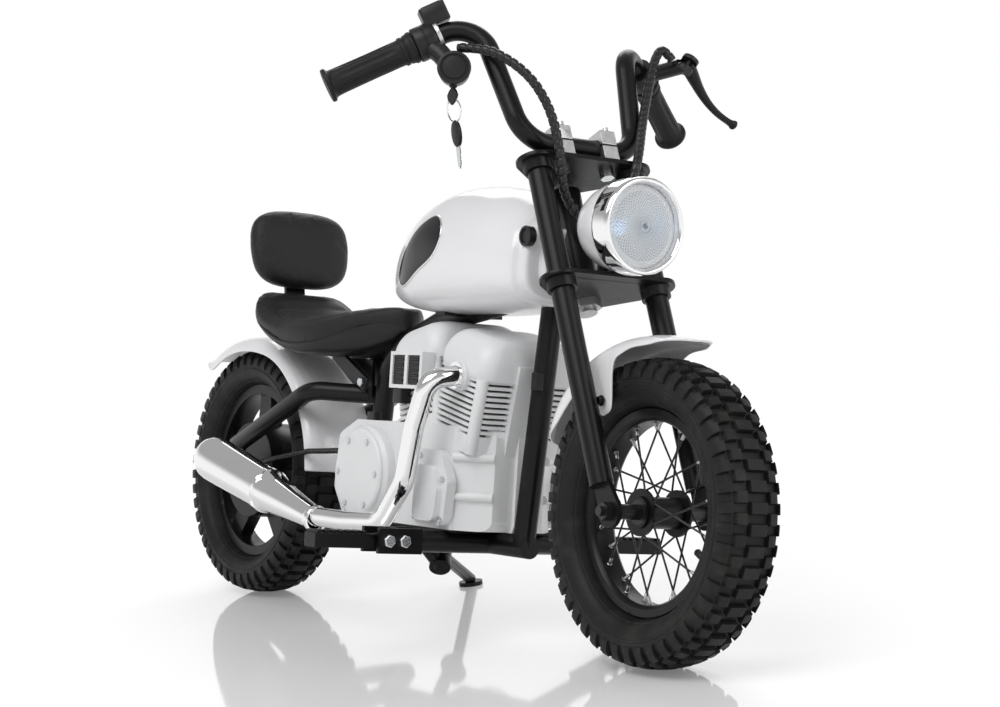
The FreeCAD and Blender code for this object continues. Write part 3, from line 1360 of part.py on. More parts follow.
def motor_cable(body):
    """Cable from the hub motor's axle forward past the fender to the engine cover."""
    start = V(REAR_X + REAR_SLEEVE_RADIUS + SEAT, -CABLE_Y, AXLE_Z)
    points = [
        start, V(-780, -CABLE_Y, 168), V(-720, -CABLE_Y, 180), V(-640, -CABLE_Y, 192), V(-530, -CABLE_Y, 198),
    ]
    return tube(points, 3.5, 40).cut(body)


def rear_brake_cable(body):
    """Brake cable from the engine cover back past the fender to the caliper."""
    end = V(REAR_X + DISC_RADIUS + 16, disc_y() + 8, AXLE_Z + 30)
    points = [V(-530, CABLE_Y, 204), V(-620, CABLE_Y, 206), V(-700, CABLE_Y - 1, 202), end]
    return tube(points, 2.5, 30).cut(body).cut(brake_caliper())


# Assembly

def assembly():
    """Every part by name, upright."""
    hub = front_hub()
    rim = front_rim()
    bar = handlebar()
    housing = throttle_housing(bar)
    perch = brake_perch(bar)
    body = engine_body()
    header = exhaust_header(body)
    bowl = headlight_bowl()
    lower = clamp_plate(0)
    pan = seat_pan()
    leg = fork_leg()
    peg = footpeg()
    left_grip = mirrored(grip(BAR_RADIUS))
    front_sleeve = HUB_HALF_LENGTH + GAP
    rear_sleeve = disc_y() + DISC_THICKNESS + 4
    return {
        "main_frame": main_frame(pan),
        "engine_case_right": engine_case_right(body),
        "engine_case_left": engine_case_left(body),
        "clutch_cover": clutch_cover(),
        "gear_cover": gear_cover(body),
        "air_box": air_box(body),
        "engine_screws": engine_screws(),
        "battery_pack": battery_pack(),
        "motor_controller": motor_controller(),
        "exhaust_header": header,
        "exhaust_muffler": exhaust_muffler(header),
        "tank_shell": tank_shell(),
        "tank_badges": both(tank_badge()),
        "charge_socket": charge_socket(),
        "seat_base": pan,
        "seat_pad": seat_pad(pan),
        "backrest_post": backrest_post(),
        "backrest_pad": backrest_pad(),
        "rear_fender": rear_fender(),
        "rear_axle": axle(REAR_X, REAR_AXLE_RADIUS, STAY_Y, rear_sleeve, REAR_SLEEVE_RADIUS),
        "motor_stator": motor_stator(),
        "brake_caliper": brake_caliper(),
        "rear_brake_cable": rear_brake_cable(body),
        "motor_cable": motor_cable(body),
        "headset_bearings": headset_bearings(),
        "steering_stem": steering_stem(),
        "upper_clamp": clamp_plate(CLAMP_SPACING),
        "lower_clamp": lower,
        "fork_leg_right": leg,
        "fork_leg_left": mirrored(leg),
        "handlebar": bar,
        "bar_clamps": both(bar_clamp(bar)),
        "clamp_bolts": clamp_bolts(),
        "headlight_bowl": bowl,
        "headlight_bezel": headlight_bezel(),
        "headlight_lens": headlight_lens(),
        "headlight_reflector": headlight_reflector(),
        "headlight_bracket": headlight_bracket(lower),
        "front_fender": front_fender(),
        "front_axle": axle(0, FRONT_AXLE_RADIUS, FORK_HALF_SPACING, front_sleeve, FRONT_SLEEVE_RADIUS),
        "throttle_housing": housing,
        "left_grip": left_grip,
        "brake_perch": perch,
        "throttle_loom": throttle_loom(housing),
        "brake_loom": brake_loom(perch, lower),
        "front_tyre": tyre(0, FRONT_RIM_RADIUS),
        "front_rim": rim,
        "front_hub": hub,
        "front_spokes": front_spokes(hub, rim),
        "front_bearings": front_bearings(),
        "rear_tyre": tyre(REAR_X, REAR_RIM_RADIUS),
        "rear_rim": rear_rim(),
        "brake_disc": brake_disc(),
        "throttle_grip": grip(BAR_RADIUS + FIT),
        "brake_lever": brake_lever(),
        "ignition_key": ignition_key(),
        "spare_key": spare_key(),
        "kickstand": kickstand(),
        "footpeg_right": peg,
        "footpeg_left": mirrored(peg),
    }


# Parking: lean onto the stand, then bring the origin under the middle of the bike

parts = assembly()
for shape in parts.values():
    shape.rotate(V(0, 0, 0), V(1, 0, 0), -LEAN)
room = Part.makeCompound(list(parts.values())).BoundBox
shift = V(-room.Center.x, -room.Center.y, -room.ZMin)
os.makedirs("parts", exist_ok=True)
for name, shape in parts.items():
    shape.translate(shift)
    shape.exportStep("parts/" + name + ".step")
    print(name, [round(solid.Volume) for solid in shape.Solids][:4], len(shape.Solids), shape.isValid())
print("moved by", shift, "size", room.XLength, room.YLength, room.ZLength)
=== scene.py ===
import json
import math

import bmesh
import bpy
from mathutils import Matrix, Vector


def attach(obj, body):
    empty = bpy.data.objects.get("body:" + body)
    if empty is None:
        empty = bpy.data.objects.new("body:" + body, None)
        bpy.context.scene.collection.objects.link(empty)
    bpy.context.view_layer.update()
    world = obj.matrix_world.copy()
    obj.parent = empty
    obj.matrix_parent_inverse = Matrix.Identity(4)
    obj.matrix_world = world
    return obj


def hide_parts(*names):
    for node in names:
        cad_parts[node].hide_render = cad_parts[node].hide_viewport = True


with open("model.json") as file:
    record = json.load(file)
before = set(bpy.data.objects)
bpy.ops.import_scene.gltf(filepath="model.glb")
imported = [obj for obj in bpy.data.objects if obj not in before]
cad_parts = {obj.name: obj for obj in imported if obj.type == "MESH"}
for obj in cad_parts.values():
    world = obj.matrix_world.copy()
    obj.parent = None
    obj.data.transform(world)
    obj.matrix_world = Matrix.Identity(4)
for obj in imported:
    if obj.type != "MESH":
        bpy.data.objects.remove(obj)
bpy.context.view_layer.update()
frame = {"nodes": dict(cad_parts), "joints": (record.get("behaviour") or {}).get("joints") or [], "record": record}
NODES = frame["nodes"]

# The bike is drawn upright in millimetres (X forward from the front axle, Y to the rider's left, Z up from
# the ground) and PARK leans it onto its stand, in metres
MM = 0.001
LEAN = math.radians(12)
AXLE_Z = 160.0
REAR_X = -842.0
FRONT_SPIN = next(j for j in frame["joints"] if j["name"] == "front_wheel_spin")
TURN = Matrix.Rotation(-LEAN, 4, "X")
SHIFT = Vector(FRONT_SPIN["pos_m"]) - TURN @ Vector((0, 0, AXLE_Z * MM))
PARK = Matrix.Translation(SHIFT) @ TURN @ Matrix.Scale(MM, 4)

# Headlight's place and the pattern of its lens
LAMP_X = -50.0
LAMP_Z = 458.0
LAMP_FRONT = Vector((LAMP_X, 0, LAMP_Z))
LENS_RADIUS = 44.4
LENS_RINGS = 11
LENS_RAYS = 48


# Shader maths

def sign_pair(operation):
    """A Math node as an operator between values, plain and reflected."""
    def plain(value, other):
        return value.math(operation, value, other)

    def reflected(value, other):
        return value.math(operation, other, value)

    return plain, reflected


class Sock:
    """A value in a node tree, with its maths written as expressions."""

    __add__, __radd__ = sign_pair("ADD")
    __sub__, __rsub__ = sign_pair("SUBTRACT")
    __mul__, __rmul__ = sign_pair("MULTIPLY")
    __pow__, __rpow__ = sign_pair("POWER")

    def __init__(self, tree, out=None):
        self.tree = tree
        self.out = out

    def feed(self, socket, value):
        """Link a value to a socket, or set a plain one there."""
        if isinstance(value, Sock):
            self.tree.links.new(value.out, socket)
        else:
            socket.default_value = value

    def add(self, kind, settings=None, sockets=None, output=0):
        """Add a node: its settings first, then the values or links of its sockets."""
        node = self.tree.nodes.new("ShaderNode" + kind)
        for key, value in (settings or {}).items():
            setattr(node, key, value)
        for key, value in (sockets or {}).items():
            self.feed(node.inputs[key], value)
        return Sock(self.tree, node.outputs[output])

    def math(self, operation, *values):
        return self.add("Math", {"operation": operation}, dict(enumerate(values)))

    def sine(self):
        return self.math("SINE", self)

    def most(self, other):
        """The larger of two values."""
        return self.math("MAXIMUM", self, other)

    def band(self, low, high):
        """0 below low, 1 above high, smooth between."""
        return self.add("MapRange", {"interpolation_type": "SMOOTHSTEP"}, {0: self, 1: low, 2: high})

    def mix(self, first, second):
        """Colour between two, by this value."""
        first, second = (c if isinstance(c, Sock) else rgba(c) for c in (first, second))
        return self.add("Mix", {"data_type": "RGBA"}, {0: self, 6: first, 7: second}, 2)


def rgba(colour):
    """Grey value or RGB as RGBA."""
    if isinstance(colour, (int, float)):
        colour = (colour, colour, colour)
    return (*colour, 1.0)


class Finish:
    """A material with one principled shader."""

    NOISE_ROUGHNESS = 0.55

    def __init__(self, name, **constants):
        self.material = bpy.data.materials.new(name)
        self.material.use_nodes = True
        tree = self.material.node_tree
        self.shader = tree.nodes["Principled BSDF"]
        self.seed = Sock(tree)
        self.set(**constants)

    def set(self, **values):
        """Set or link the shader's sockets."""
        for key, value in values.items():
            name = key.replace("_", " ").title().replace("Ior", "IOR")
            self.seed.feed(self.shader.inputs[name], value)
        return self

    def place(self):
        """The point of the surface, in metres on the resting bike."""
        return self.seed.add("TexCoord", output="Object")

    def noise(self, scale, detail, *band):
        """Noise over the surface, pressed into a band if one is given."""
        noise = self.seed.add("TexNoise", None, {
            "Vector": self.place(), "Scale": scale, "Detail": detail, "Roughness": self.NOISE_ROUGHNESS})
        return noise.band(*band) if band else noise

    def vary(self, least, gain, *noise):
        """A value that a noise lifts from its least."""
        return self.noise(*noise) * gain + least

    def cells(self, scale, feature="F1"):
        """Distance in a pattern of cells over the surface."""
        sockets = {"Vector": self.place(), "Scale": scale}
        return self.seed.add("TexVoronoi", {"feature": feature}, sockets)

    def bump(self, height, depth, strength):
        """A normal raised by a height, with its depth in metres."""
        return self.seed.add("Bump", None, {"Strength": strength, "Distance": depth, "Height": height})


# Finishes

def surface(name, colours, tone, rough, grain=None, coat=None, **constants):
    """A finish whose two colours drift over it, with its roughness, coat and bumped grain.

    A noise is its scale and detail, then the band it is pressed into if it has one. tone is a noise. rough and
    coat are the least value, the gain and a noise, and grain is the depth, the strength and a noise.
    """
    f = Finish(name, **constants)
    f.set(base_color=f.noise(*tone).mix(*colours), roughness=f.vary(*rough))
    if coat:
        f.set(coat_weight=f.vary(*coat))
    if grain:
        depth, strength, *noise = grain
        f.set(normal=f.bump(f.noise(*noise), depth, strength))
    return f


def black_plastic():
    """Black control moulding with a fine grain."""
    f = surface("black_plastic", ((0.010, 0.010, 0.011), (0.016, 0.016, 0.017)), tone=(30, 3),
                rough=(0.28, 0.15, 70, 3), specular_ior_level=0.3)
    return f.set(normal=f.bump(f.cells(1400), 0.0002, 0.35))


def seat_vinyl():
    """Soft black seat cover with a leather grain."""
    f = Finish("seat_vinyl", specular_ior_level=0.3, sheen_weight=0.02, sheen_roughness=0.5)
    grain = f.cells(520, "DISTANCE_TO_EDGE").band(0.0, 0.28)
    pores = f.noise(1300, 2)
    worn = f.noise(12, 4, 0.4, 0.75)
    f.set(base_color=worn.mix((0.008, 0.008, 0.0084), (0.015, 0.0148, 0.0148)))
    f.set(roughness=worn * 0.08 + grain * -0.06 + 0.40)
    return f.set(normal=f.bump(grain + pores * 0.4, 0.0006, 0.35))


# Waves of the lens's rings in a metre, and where its plain margin starts
LENS_WAVE = LENS_RINGS * 2 * math.pi / (LENS_RADIUS * MM)
LENS_MARGIN = (0.0365, 0.038)


def clear_lens():
    """Pressed lamp glass: rings and rays of small cushions inside a plain margin. Its pale colour, lighter on the
    cushion tops and darker in the grooves, is painted light.
    """
    f = Finish("clear_lens", transmission_weight=0.34, ior=1.15)
    away = f.seed.add("VectorMath", {"operation": "SUBTRACT"}, {0: f.place(), 1: PARK @ LAMP_FRONT})
    across, up = (f.seed.add("SeparateXYZ", None, {0: away}, axis) for axis in "YZ")
    radius = (across * across + up * up) ** 0.5
    ring = (radius * LENS_WAVE).sine()
    ray = (across.math("ARCTAN2", across, up) * LENS_RAYS).sine()
    cushion_top = (ring * ray).band(-0.6, 0.7)
    # Painted highlight on the cushion tops and painted shade in the grooves between them
    tone = cushion_top.mix((0.62, 0.65, 0.68), (0.98, 0.99, 1.0))
    f.set(base_color=radius.band(*LENS_MARGIN).mix(tone, (0.95, 0.96, 0.97)))
    return f.set(roughness=cushion_top * 0.1 + 0.08, normal=f.bump(cushion_top, 0.0008, 0.5))


def bulb_glass():
    """Bluish lamp glass, faintly lit."""
    f = surface("bulb_glass", ((0.25, 0.5, 0.8), (0.45, 0.7, 0.95)), tone=(90, 2), rough=(0.08, 0.1, 60, 2),
                specular_ior_level=0.5, emission_strength=5.0)
    return f.set(emission_color=f.noise(90, 2).mix((0.2, 0.5, 1.0), (0.4, 0.7, 1.0)))


# Satin black powder coat with faint orange peel and dust
POWDER = surface("powder_black", ((0.0055, 0.0055, 0.006), (0.0085, 0.0085, 0.009)), tone=(9, 4, 0.5, 0.8),
                 rough=(0.27, 0.08, 40, 3), grain=(0.00025, 0.35, 900, 2), specular_ior_level=0.24)
# Gloss white moulding with a clear skin
WHITE = surface("gloss_white", ((0.81755, 0.81755, 0.832325), (0.83, 0.83, 0.845)), tone=(6, 2),
                rough=(0.16, 0.08, 25, 3), grain=(0.0004, 0.12, 60, 2), coat=(0.35, 0.2, 14, 2),
                coat_roughness=0.05, specular_ior_level=0.5)
# Satin silver-grey moulding with a fine spark texture
GREY = surface("engine_grey", ((0.72, 0.725, 0.735), (0.78, 0.785, 0.79)), tone=(11, 3),
               rough=(0.30, 0.12, 50, 3), grain=(0.0002, 0.25, 1500, 2), specular_ior_level=0.5)
# Polished chrome with faint smears
CHROME = surface("bright_chrome", ((0.86, 0.86, 0.87), (0.93, 0.93, 0.93)), tone=(18, 4),
                 rough=(0.035, 0.05, 18, 4, 0.45, 0.8), metallic=1.0)
# Blue-bright zinc plate on nuts and axle ends
ZINC = surface("zinc_plate", ((0.52, 0.56, 0.60), (0.74, 0.75, 0.74)), tone=(300, 3),
               rough=(0.18, 0.2, 300, 3), grain=(0.0002, 0.3, 1200, 2), metallic=1.0)
# Plain turned steel
STEEL = surface("turned_steel", ((0.40, 0.40, 0.41), (0.58, 0.58, 0.58)), tone=(220, 3),
                rough=(0.25, 0.2, 220, 3), grain=(0.0002, 0.3, 1500, 2), metallic=1.0)
# Tumbled cast alloy
SILVER = surface("cast_silver", ((0.55, 0.55, 0.56), (0.78, 0.78, 0.78)), tone=(120, 4),
                 rough=(0.2, 0.25, 120, 4), grain=(0.0006, 0.5, 500, 3), metallic=1.0)
# Moulded tyre rubber with dust in patches
TYRE = surface("tyre_rubber", ((0.007, 0.0068, 0.0066), (0.022, 0.0205, 0.019)), tone=(35, 5, 0.45, 0.75),
               rough=(0.42, 0.2, 60, 3), grain=(0.0005, 0.4, 700, 3), specular_ior_level=0.28)
# Soft grip rubber
GRIP = surface("grip_rubber", ((0.010, 0.010, 0.010), (0.017, 0.017, 0.017)), tone=(40, 3),
               rough=(0.40, 0.15, 90, 3), grain=(0.0003, 0.4, 1600, 2), specular_ior_level=0.2)
PLASTIC = black_plastic()
# Glossier black of the spiral cable wrap
WRAP = surface("wrap_plastic", ((0.010, 0.010, 0.011), (0.020, 0.020, 0.021)), tone=(60, 3),
               rough=(0.22, 0.12, 120, 3), grain=(0.0002, 0.3, 900, 2), specular_ior_level=0.35)
# Gloss black plate under a clear skin
BADGE = surface("badge_black", ((0.006, 0.006, 0.008), (0.012, 0.012, 0.014)), tone=(20, 3),
                rough=(0.12, 0.1, 50, 3), coat=(0.1, 0.1, 9, 2), coat_roughness=0.03,
                specular_ior_level=0.3)
VINYL = seat_vinyl()
LENS = clear_lens()
# Vacuum-bright reflector
DISH = surface("mirror_dish", ((0.86, 0.88, 0.91), (0.95, 0.96, 0.98)), tone=(40, 2),
               rough=(0.35, 0.1, 80, 2), metallic=1.0)
BULB = bulb_glass()
# Black-oxide spoke wire
SPOKE = surface("spoke_black", ((0.006, 0.006, 0.007), (0.012, 0.012, 0.013)), tone=(80, 3),
                rough=(0.28, 0.1, 200, 2), grain=(0.0001, 0.2, 1500, 2), specular_ior_level=0.5)
SLOTS = {
    "black_paint": POWDER, "white_gloss": WHITE, "engine_grey": GREY, "chrome": CHROME, "zinc": ZINC,
    "steel": STEEL, "silver": SILVER, "tyre": TYRE, "grip_rubber": GRIP, "loom": WRAP,
    "black_plastic": PLASTIC, "badge": BADGE, "seat_leather": VINYL, "lens": LENS, "reflector": DISH,
}
for part in frame["record"]["subparts"]:
    node = NODES[part["node"]]
    node.data.materials.clear()
    node.data.materials.append(SLOTS[part["material_slot"]].material)
for name in ("front_spokes", "front_axle", "front_bearings"):
    NODES[name].data.materials[0] = SPOKE.material


# Drawing tools

DOUBLES = 1e-5
DEGENERATE = 1e-6
HARD_EDGE = math.radians(35)
ROUNDING_STEPS = 6
LINE_STEPS = 24
# Layers of a block from its floor: side, then inset and drop as shares of its softness
BLOCK_LAYERS = ((-1, 1, 0), (-1, 0.4, 0), (-1, 0, 0.5), (1, 0, 0.5), (1, 0.4, 0), (1, 1, 0))
BLOCK_CORNER = 1.2


def turns(steps):
    """Angles of equal steps, once round."""
    return [2 * math.pi * i / steps for i in range(steps)]


def circle(middle, side, other, radius, steps):
    """Points round a middle, from one direction towards another."""
    return [middle + (side * math.cos(a) + other * math.sin(a)) * radius for a in turns(steps)]


class Form:
    """The mesh of a piece, drawn in the upright bike's millimetres."""

    def __init__(self):
        self.points = []
        self.faces = []

    def row(self, points):
        """Add points and give their numbers."""
        start = len(self.points)
        self.points += [Vector(p) for p in points]
        return range(start, len(self.points))

    def skin(self, rows, around=True, ends=False):
        """Quads between rows of points, closed around each row, with flat ends if wanted."""
        rows = [self.row(points) for points in rows]
        for near, far in zip(rows, rows[1:]):
            count = len(near)
            for i in range(count if around else count - 1):
                j = (i + 1) % count
                self.faces.append((near[i], near[j], far[j], far[i]))
        if ends:
            self.faces += [tuple(rows[0]), tuple(rows[-1])]
        return self

    def lathe(self, profile, centre, axis, steps):
        """Turn (distance along the axis, radius) corners about an axis."""
        axis = Vector(axis).normalized()
        side = axis.orthogonal().normalized()
        other = axis.cross(side)
        return self.skin([circle(centre + axis * t, side, other, r, steps) for t, r in profile])

    def rod(self, start, end, radius, steps):
        """Round bar between two points, with softened ends."""
        start = Vector(start)
        run = Vector(end) - start
        length = run.length
        soft = 0.2 * min(radius, length)
        profile = [(0, 0), (0, radius - soft), (soft, radius), (length - soft, radius),
                   (length, radius - soft), (length, 0)]
        return self.lathe(profile, start, run, steps)

    def hexagon(self, base, axis, radius, height):
        """Hexagon head or nut with a turned-down top edge."""
        profile = [(0, 0), (0, radius), (0.8 * height, radius), (height, 0.86 * radius), (height, 0)]
        return self.lathe(profile, Vector(base), axis, steps=6)

    def tube(self, path, radius, steps):
        """Round tube along points; the radius is a function of distance and angle."""
        length = 0.0
        rows = []
        side = None
        for i, point in enumerate(path):
            ahead = (path[min(i + 1, len(path) - 1)] - path[max(i - 1, 0)]).normalized()
            side = ahead.orthogonal() if side is None else side - ahead * side.dot(ahead)
            side = side.normalized()
            other = ahead.cross(side)
            if i:
                length += (point - path[i - 1]).length
            rows.append([point + (side * math.cos(a) + other * math.sin(a)) * radius(length, a)
                         for a in turns(steps)])
        return self.skin(rows, ends=True)

    def hoop(self, line, facing, radius, steps):
        """Round wire along a closed line of points, its section turned to a direction."""
        rows = []
        for i, point in enumerate(line):
            ahead = (line[(i + 1) % len(line)] - line[i - 1]).normalized()
            out = (facing - ahead * facing.dot(ahead)).normalized()
            rows.append(circle(point, out, ahead.cross(out), radius, steps))
        return self.skin(rows + rows[:1])

    def plate(self, outline, lift, thickness):
        """Flat plate: outline points, raised along lift by its thickness."""
        lift = Vector(lift).normalized() * thickness
        low = [Vector(p) for p in outline]
        return self.skin([low, [p + lift for p in low]], ends=True)

    def block(self, centre, axes, halves, soft):
        """Box with softened edges on its own axes."""
        along_axis, across_axis, up_axis = axes
        rows = []
        for side, inset, drop in BLOCK_LAYERS:
            cut = soft * inset
            plan = rounded_box(0, 0, halves[0] - cut, halves[1] - cut, soft * BLOCK_CORNER)
            middle = centre + up_axis * (side * (halves[2] - soft * drop))
            rows.append([middle + along_axis * x + across_axis * z for x, _, z in plan])
        return self.skin(rows, ends=True)

    def make(self, name, finish, body, replaces=(), sharp=38, bevel=0.0, slot=None):
        """Park the mesh on its stand as a named piece of a body."""
        mesh = bpy.data.meshes.new(name)
        mesh.from_pydata([PARK @ p for p in self.points], [], self.faces)
        bm = bmesh.new()
        bm.from_mesh(mesh)
        bmesh.ops.remove_doubles(bm, verts=bm.verts, dist=DOUBLES)
        bmesh.ops.dissolve_degenerate(bm, dist=DEGENERATE, edges=bm.edges)
        bmesh.ops.recalc_face_normals(bm, faces=bm.faces)
        bm.to_mesh(mesh)
        bm.free()
        shade_smooth(mesh)
        mesh.set_sharp_from_angle(angle=math.radians(sharp))
        mesh.materials.append(finish.material)
        piece = bpy.data.objects.new(name, mesh)
        bpy.context.scene.collection.objects.link(piece)
        if bevel:
            soften(piece, bevel)
        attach(piece, body)
        if replaces:
            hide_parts(*replaces)
        return piece


def rounded_box(x, z, half_x, half_z, radius, y=0.0):
    """Outline of a rounded rectangle in the plane of the bike's side."""
    points = []
    for quarter, (sx, sz) in enumerate(((1, 1), (-1, 1), (-1, -1), (1, -1))):
        for i in range(ROUNDING_STEPS):
            a = math.pi / 2 * (quarter + i / (ROUNDING_STEPS - 1))
            points.append((x + sx * (half_x - radius) + radius * math.cos(a), y,
                           z + sz * (half_z - radius) + radius * math.sin(a)))
    return points


def shade_smooth(mesh):
    """Shade all the faces of a mesh smooth."""
    mesh.polygons.foreach_set("use_smooth", [True] * len(mesh.polygons))


def soften(piece, width):
    """Round the hard edges of a piece."""
    edge = piece.modifiers.new("edge", "BEVEL")
    edge.width = width * MM
    edge.segments = 2
    edge.limit_method = "ANGLE"
    edge.angle_limit = HARD_EDGE


def subdivide(piece):
    """Round the facets of a piece."""
    rounder = piece.modifiers.new("rounder", "SUBSURF")
    rounder.levels = rounder.render_levels = 1


def through(table, x):
    """Smooth values at x through rows of (x, value, value...), by Catmull-Rom spans."""
    rows = sorted(table)
    x = min(max(x, rows[0][0]), rows[-1][0])
    i = max(k for k in range(len(rows) - 1) if rows[k][0] <= x)
    p0, p1, p2, p3 = rows[max(i - 1, 0)], rows[i], rows[i + 1], rows[min(i + 2, len(rows) - 1)]
    span = p2[0] - p1[0]
    t = (x - p1[0]) / span
    result = []
    for k in range(1, len(p1)):
        m1 = (p2[k] - p0[k]) / (p2[0] - p0[0]) * span
        m2 = (p3[k] - p1[k]) / (p3[0] - p1[0]) * span
        value = (2 * t**3 - 3 * t**2 + 1) * p1[k] + (t**3 - 2 * t**2 + t) * m1
        result.append(value + (3 * t**2 - 2 * t**3) * p2[k] + (t**3 - t**2) * m2)
    return result


def spread(low, high, count):
    """Evenly spaced numbers from low to high."""
    return [low + (high - low) * i / (count - 1) for i in range(count)]


def square_off(value, curve):
    """A sine or cosine pushed out from a circle towards a square."""
    return math.copysign(abs(value) ** (2 / curve), value)


def smooth_line(name, route):
    """Points along a NURBS line through a cable's route."""
    curve = bpy.data.curves.new(name, "CURVE")
    curve.dimensions = "3D"
    curve.resolution_u = LINE_STEPS
    spline = curve.splines.new("NURBS")
    spline.points.add(len(route) - 1)
    for point, place in zip(spline.points, route):
        point.co = (*place, 1)
    spline.order_u = 3
    spline.use_endpoint_u = True
    holder = bpy.data.objects.new(name, curve)
    mesh = bpy.data.meshes.new_from_object(holder)
    points = [v.co.copy() for v in mesh.vertices]
    bpy.data.objects.remove(holder)
    bpy.data.meshes.remove(mesh)
    bpy.data.curves.remove(curve)
    return points


def even_steps(points, step):
    """The same line in equal steps."""
    line = [points[0]]
    left = step
    for a, b in zip(points, points[1:]):
        run = (b - a).length
        while left <= run:
            line.append(a + (b - a) * (left / run))
            left += step
        left -= run
    return line + [points[-1]]


# Tyres

TREAD_BLOCKS = 46
# Across half a tyre: offset and radius, then in the tread its row and how far that row's blocks stand out
# sideways and outwards
HALF_TYRE = (
    (13.3, 103), (13.3, 108), (16.5, 109), (20, 110.2), (24, 112.4), (24.6, 113.6), (26.4, 114.4), (30.5, 119),
    (33.5, 126), (34.3, 130), (35, 130.6), (35, 132.6), (34.4, 133.2), (34.4, 136.4),
    (34.2, 137.6, "lug", 1.7, 0.4), (33.2, 142.6, "lug", 2.6, 1.6), (31.2, 147, "lug", 2.2, 4),
    (28.9, 149.4, "lug", 0.6, 5.4), (27.9, 150), (27, 150.4), (26, 150.9), (25, 151.2, "mid", 0.3, 5),
    (20, 152.5, "mid", 0, 5.5), (14.5, 153.5, "mid", 0, 5.2), (13.5, 153.7), (11, 154),
    (10, 154.1, "crown", 0, 5.5), (5, 154.2, "crown", 0, 5.8), (0, 154.2, "crown", 0, 5.8),
)
PLAIN_ROW = (None, 0, 0)
BLOCK_START = {"mid": 0.0, "lug": 0.5, "crown": 0.5}
BLOCK_WALL = 0.04
BLOCK_SHARE = 0.60
TREAD_LINES = (0.0, 0.04, 0.06, 0.10, 0.30, 0.5, 0.54, 0.56, 0.60, 0.80)
LINE_SLACK = 0.001
FRONT_BEAD = 103.0
REAR_BEAD = 108.5
BEAD_FLOOR = ((8, FRONT_BEAD + 1), (-8, FRONT_BEAD + 1))
SIDEWALL_TOP = 133.0


def tyre(end, x, bead):
    """Knobbly tyre: carcass and three rows of blocks, closed over the rim."""
    half = [row + PLAIN_ROW[len(row) - 2:] for row in HALF_TYRE]
    left = [(-y, r, kind, -dy, dr) for y, r, kind, dy, dr in half]
    section = left + half[-2::-1] + [row + PLAIN_ROW for row in BEAD_FLOOR]
    squeeze = (SIDEWALL_TOP - bead) / (SIDEWALL_TOP - FRONT_BEAD)
    rows = []
    for block in range(TREAD_BLOCKS):
        for line in TREAD_LINES:
            a = 2 * math.pi * (block + line) / TREAD_BLOCKS
            row = []
            for y, r, kind, dy, dr in section:
                place = (line - BLOCK_START.get(kind, 0)) % 1
                top = kind and BLOCK_WALL - LINE_SLACK < place < BLOCK_SHARE - BLOCK_WALL + LINE_SLACK
                radius = r if r > SIDEWALL_TOP else SIDEWALL_TOP - (SIDEWALL_TOP - r) * squeeze
                if top:
                    y, radius = y + dy, radius + dr
                row.append((x + radius * math.sin(a), y, AXLE_Z + radius * math.cos(a)))
            rows.append(row)
    Form().skin(rows + rows[:1]).make(end + "_knobbly", TYRE, end + "_wheel", [end + "_tyre"], sharp=30)


tyre("front", 0.0, FRONT_BEAD)
tyre("rear", REAR_X, REAR_BEAD)


# Tank and badges

# Along the tank: place, half width, floor and roof
TANK_ROWS = (
    (-491, 3, 394, 397), (-489, 15, 388, 404), (-483, 31.5, 382, 417.5), (-470, 47, 376.5, 436),
    (-449, 60, 371, 459), (-425, 70.5, 367, 480), (-395, 78.5, 364.5, 497), (-350, 82, 364.5, 509),
    (-300, 81.5, 365.5, 510), (-255, 77.5, 368, 502.5), (-222, 71.5, 371, 489), (-205, 68.5, 373, 480),
)
TANK_TAIL = 4
# Places drawn along the tank: first, last and count, as for the seat and its pan below
TANK_PLACES = (-470, -205, 44)
# Step in to the panel behind the fork, then the narrow neck
TANK_NOSE = (
    (-200, 67.3, 372.6, 477), (-197.5, 65.6, 373.6, 475.6), (-195.5, 62.6, 375, 474), (-192, 61.2, 376, 472.8),
    (-186, 59.6, 377.6, 471), (-183.4, 57.6, 379, 469), (-182.6, 54, 382, 466), (-182.4, 42.5, 389, 461),
    (-180, 41, 390.5, 460), (-174, 40, 392, 459), (-172.4, 38, 394, 457), (-172, 33, 398, 453),
)
ROOF_CURVE = 2.4
FLOOR_CURVE = 3.3
WAIST = 0.40
TANK_STEPS = 56


def tank_section(x, half, low, high):
    """Closed outline of the tank across the bike: round shoulders, tighter lower edges."""
    waist = low + WAIST * (high - low)
    points = []
    for a in turns(TANK_STEPS):
        s = math.sin(a)
        curve, rise = (ROOF_CURVE, high - waist) if s > 0 else (FLOOR_CURVE, waist - low)
        points.append((x, square_off(math.cos(a), curve) * half, waist + square_off(s, curve) * rise))
    return points


def tank_side(x, z):
    """Half width of the tank at a place on its flank."""
    half, low, high = through(TANK_ROWS, x)
    waist = low + WAIST * (high - low)
    share = (z - waist) / (high - waist) if z > waist else (waist - z) / (waist - low)
    curve = ROOF_CURVE if z > waist else FLOOR_CURVE
    return half * max(0.0, 1 - min(share, 1) ** curve) ** (1 / curve)


def tank():
    """Teardrop tank with a stepped panel at the front."""
    places = sorted({row[0] for row in TANK_ROWS[:TANK_TAIL]} | set(spread(*TANK_PLACES)))
    rows = [tank_section(x, *through(TANK_ROWS, x)) for x in places]
    rows += [tank_section(*row) for row in TANK_NOSE]
    Form().skin(rows, ends=True).make("tank_moulding", WHITE, "chassis", ["tank_shell"], sharp=42)


tank()

# Corners of the bare badge plate on the tank's flank
BADGE_CORNERS = (
    (-410, 393.5), (-419, 406), (-404, 431.5), (-381, 458.5), (-351, 472.5), (-331, 465), (-324, 446),
    (-336, 426), (-367, 409.5), (-392, 396.5),
)
BADGE_MIDDLE = Vector((-374, 432))
# Plate from its edge inwards: share of its outline and how far it stands out
BADGE_LAYERS = ((1, -1.5), (1, 1.2), (0.975, 2.0), (0.94, 2.2), (0.6, 2.6), (0.3, 2.8), (0.002, 2.8))
BADGE_STEPS = 72
TRIM_RADIUS = 1.1
TRIM_STANDOUT = 0.6


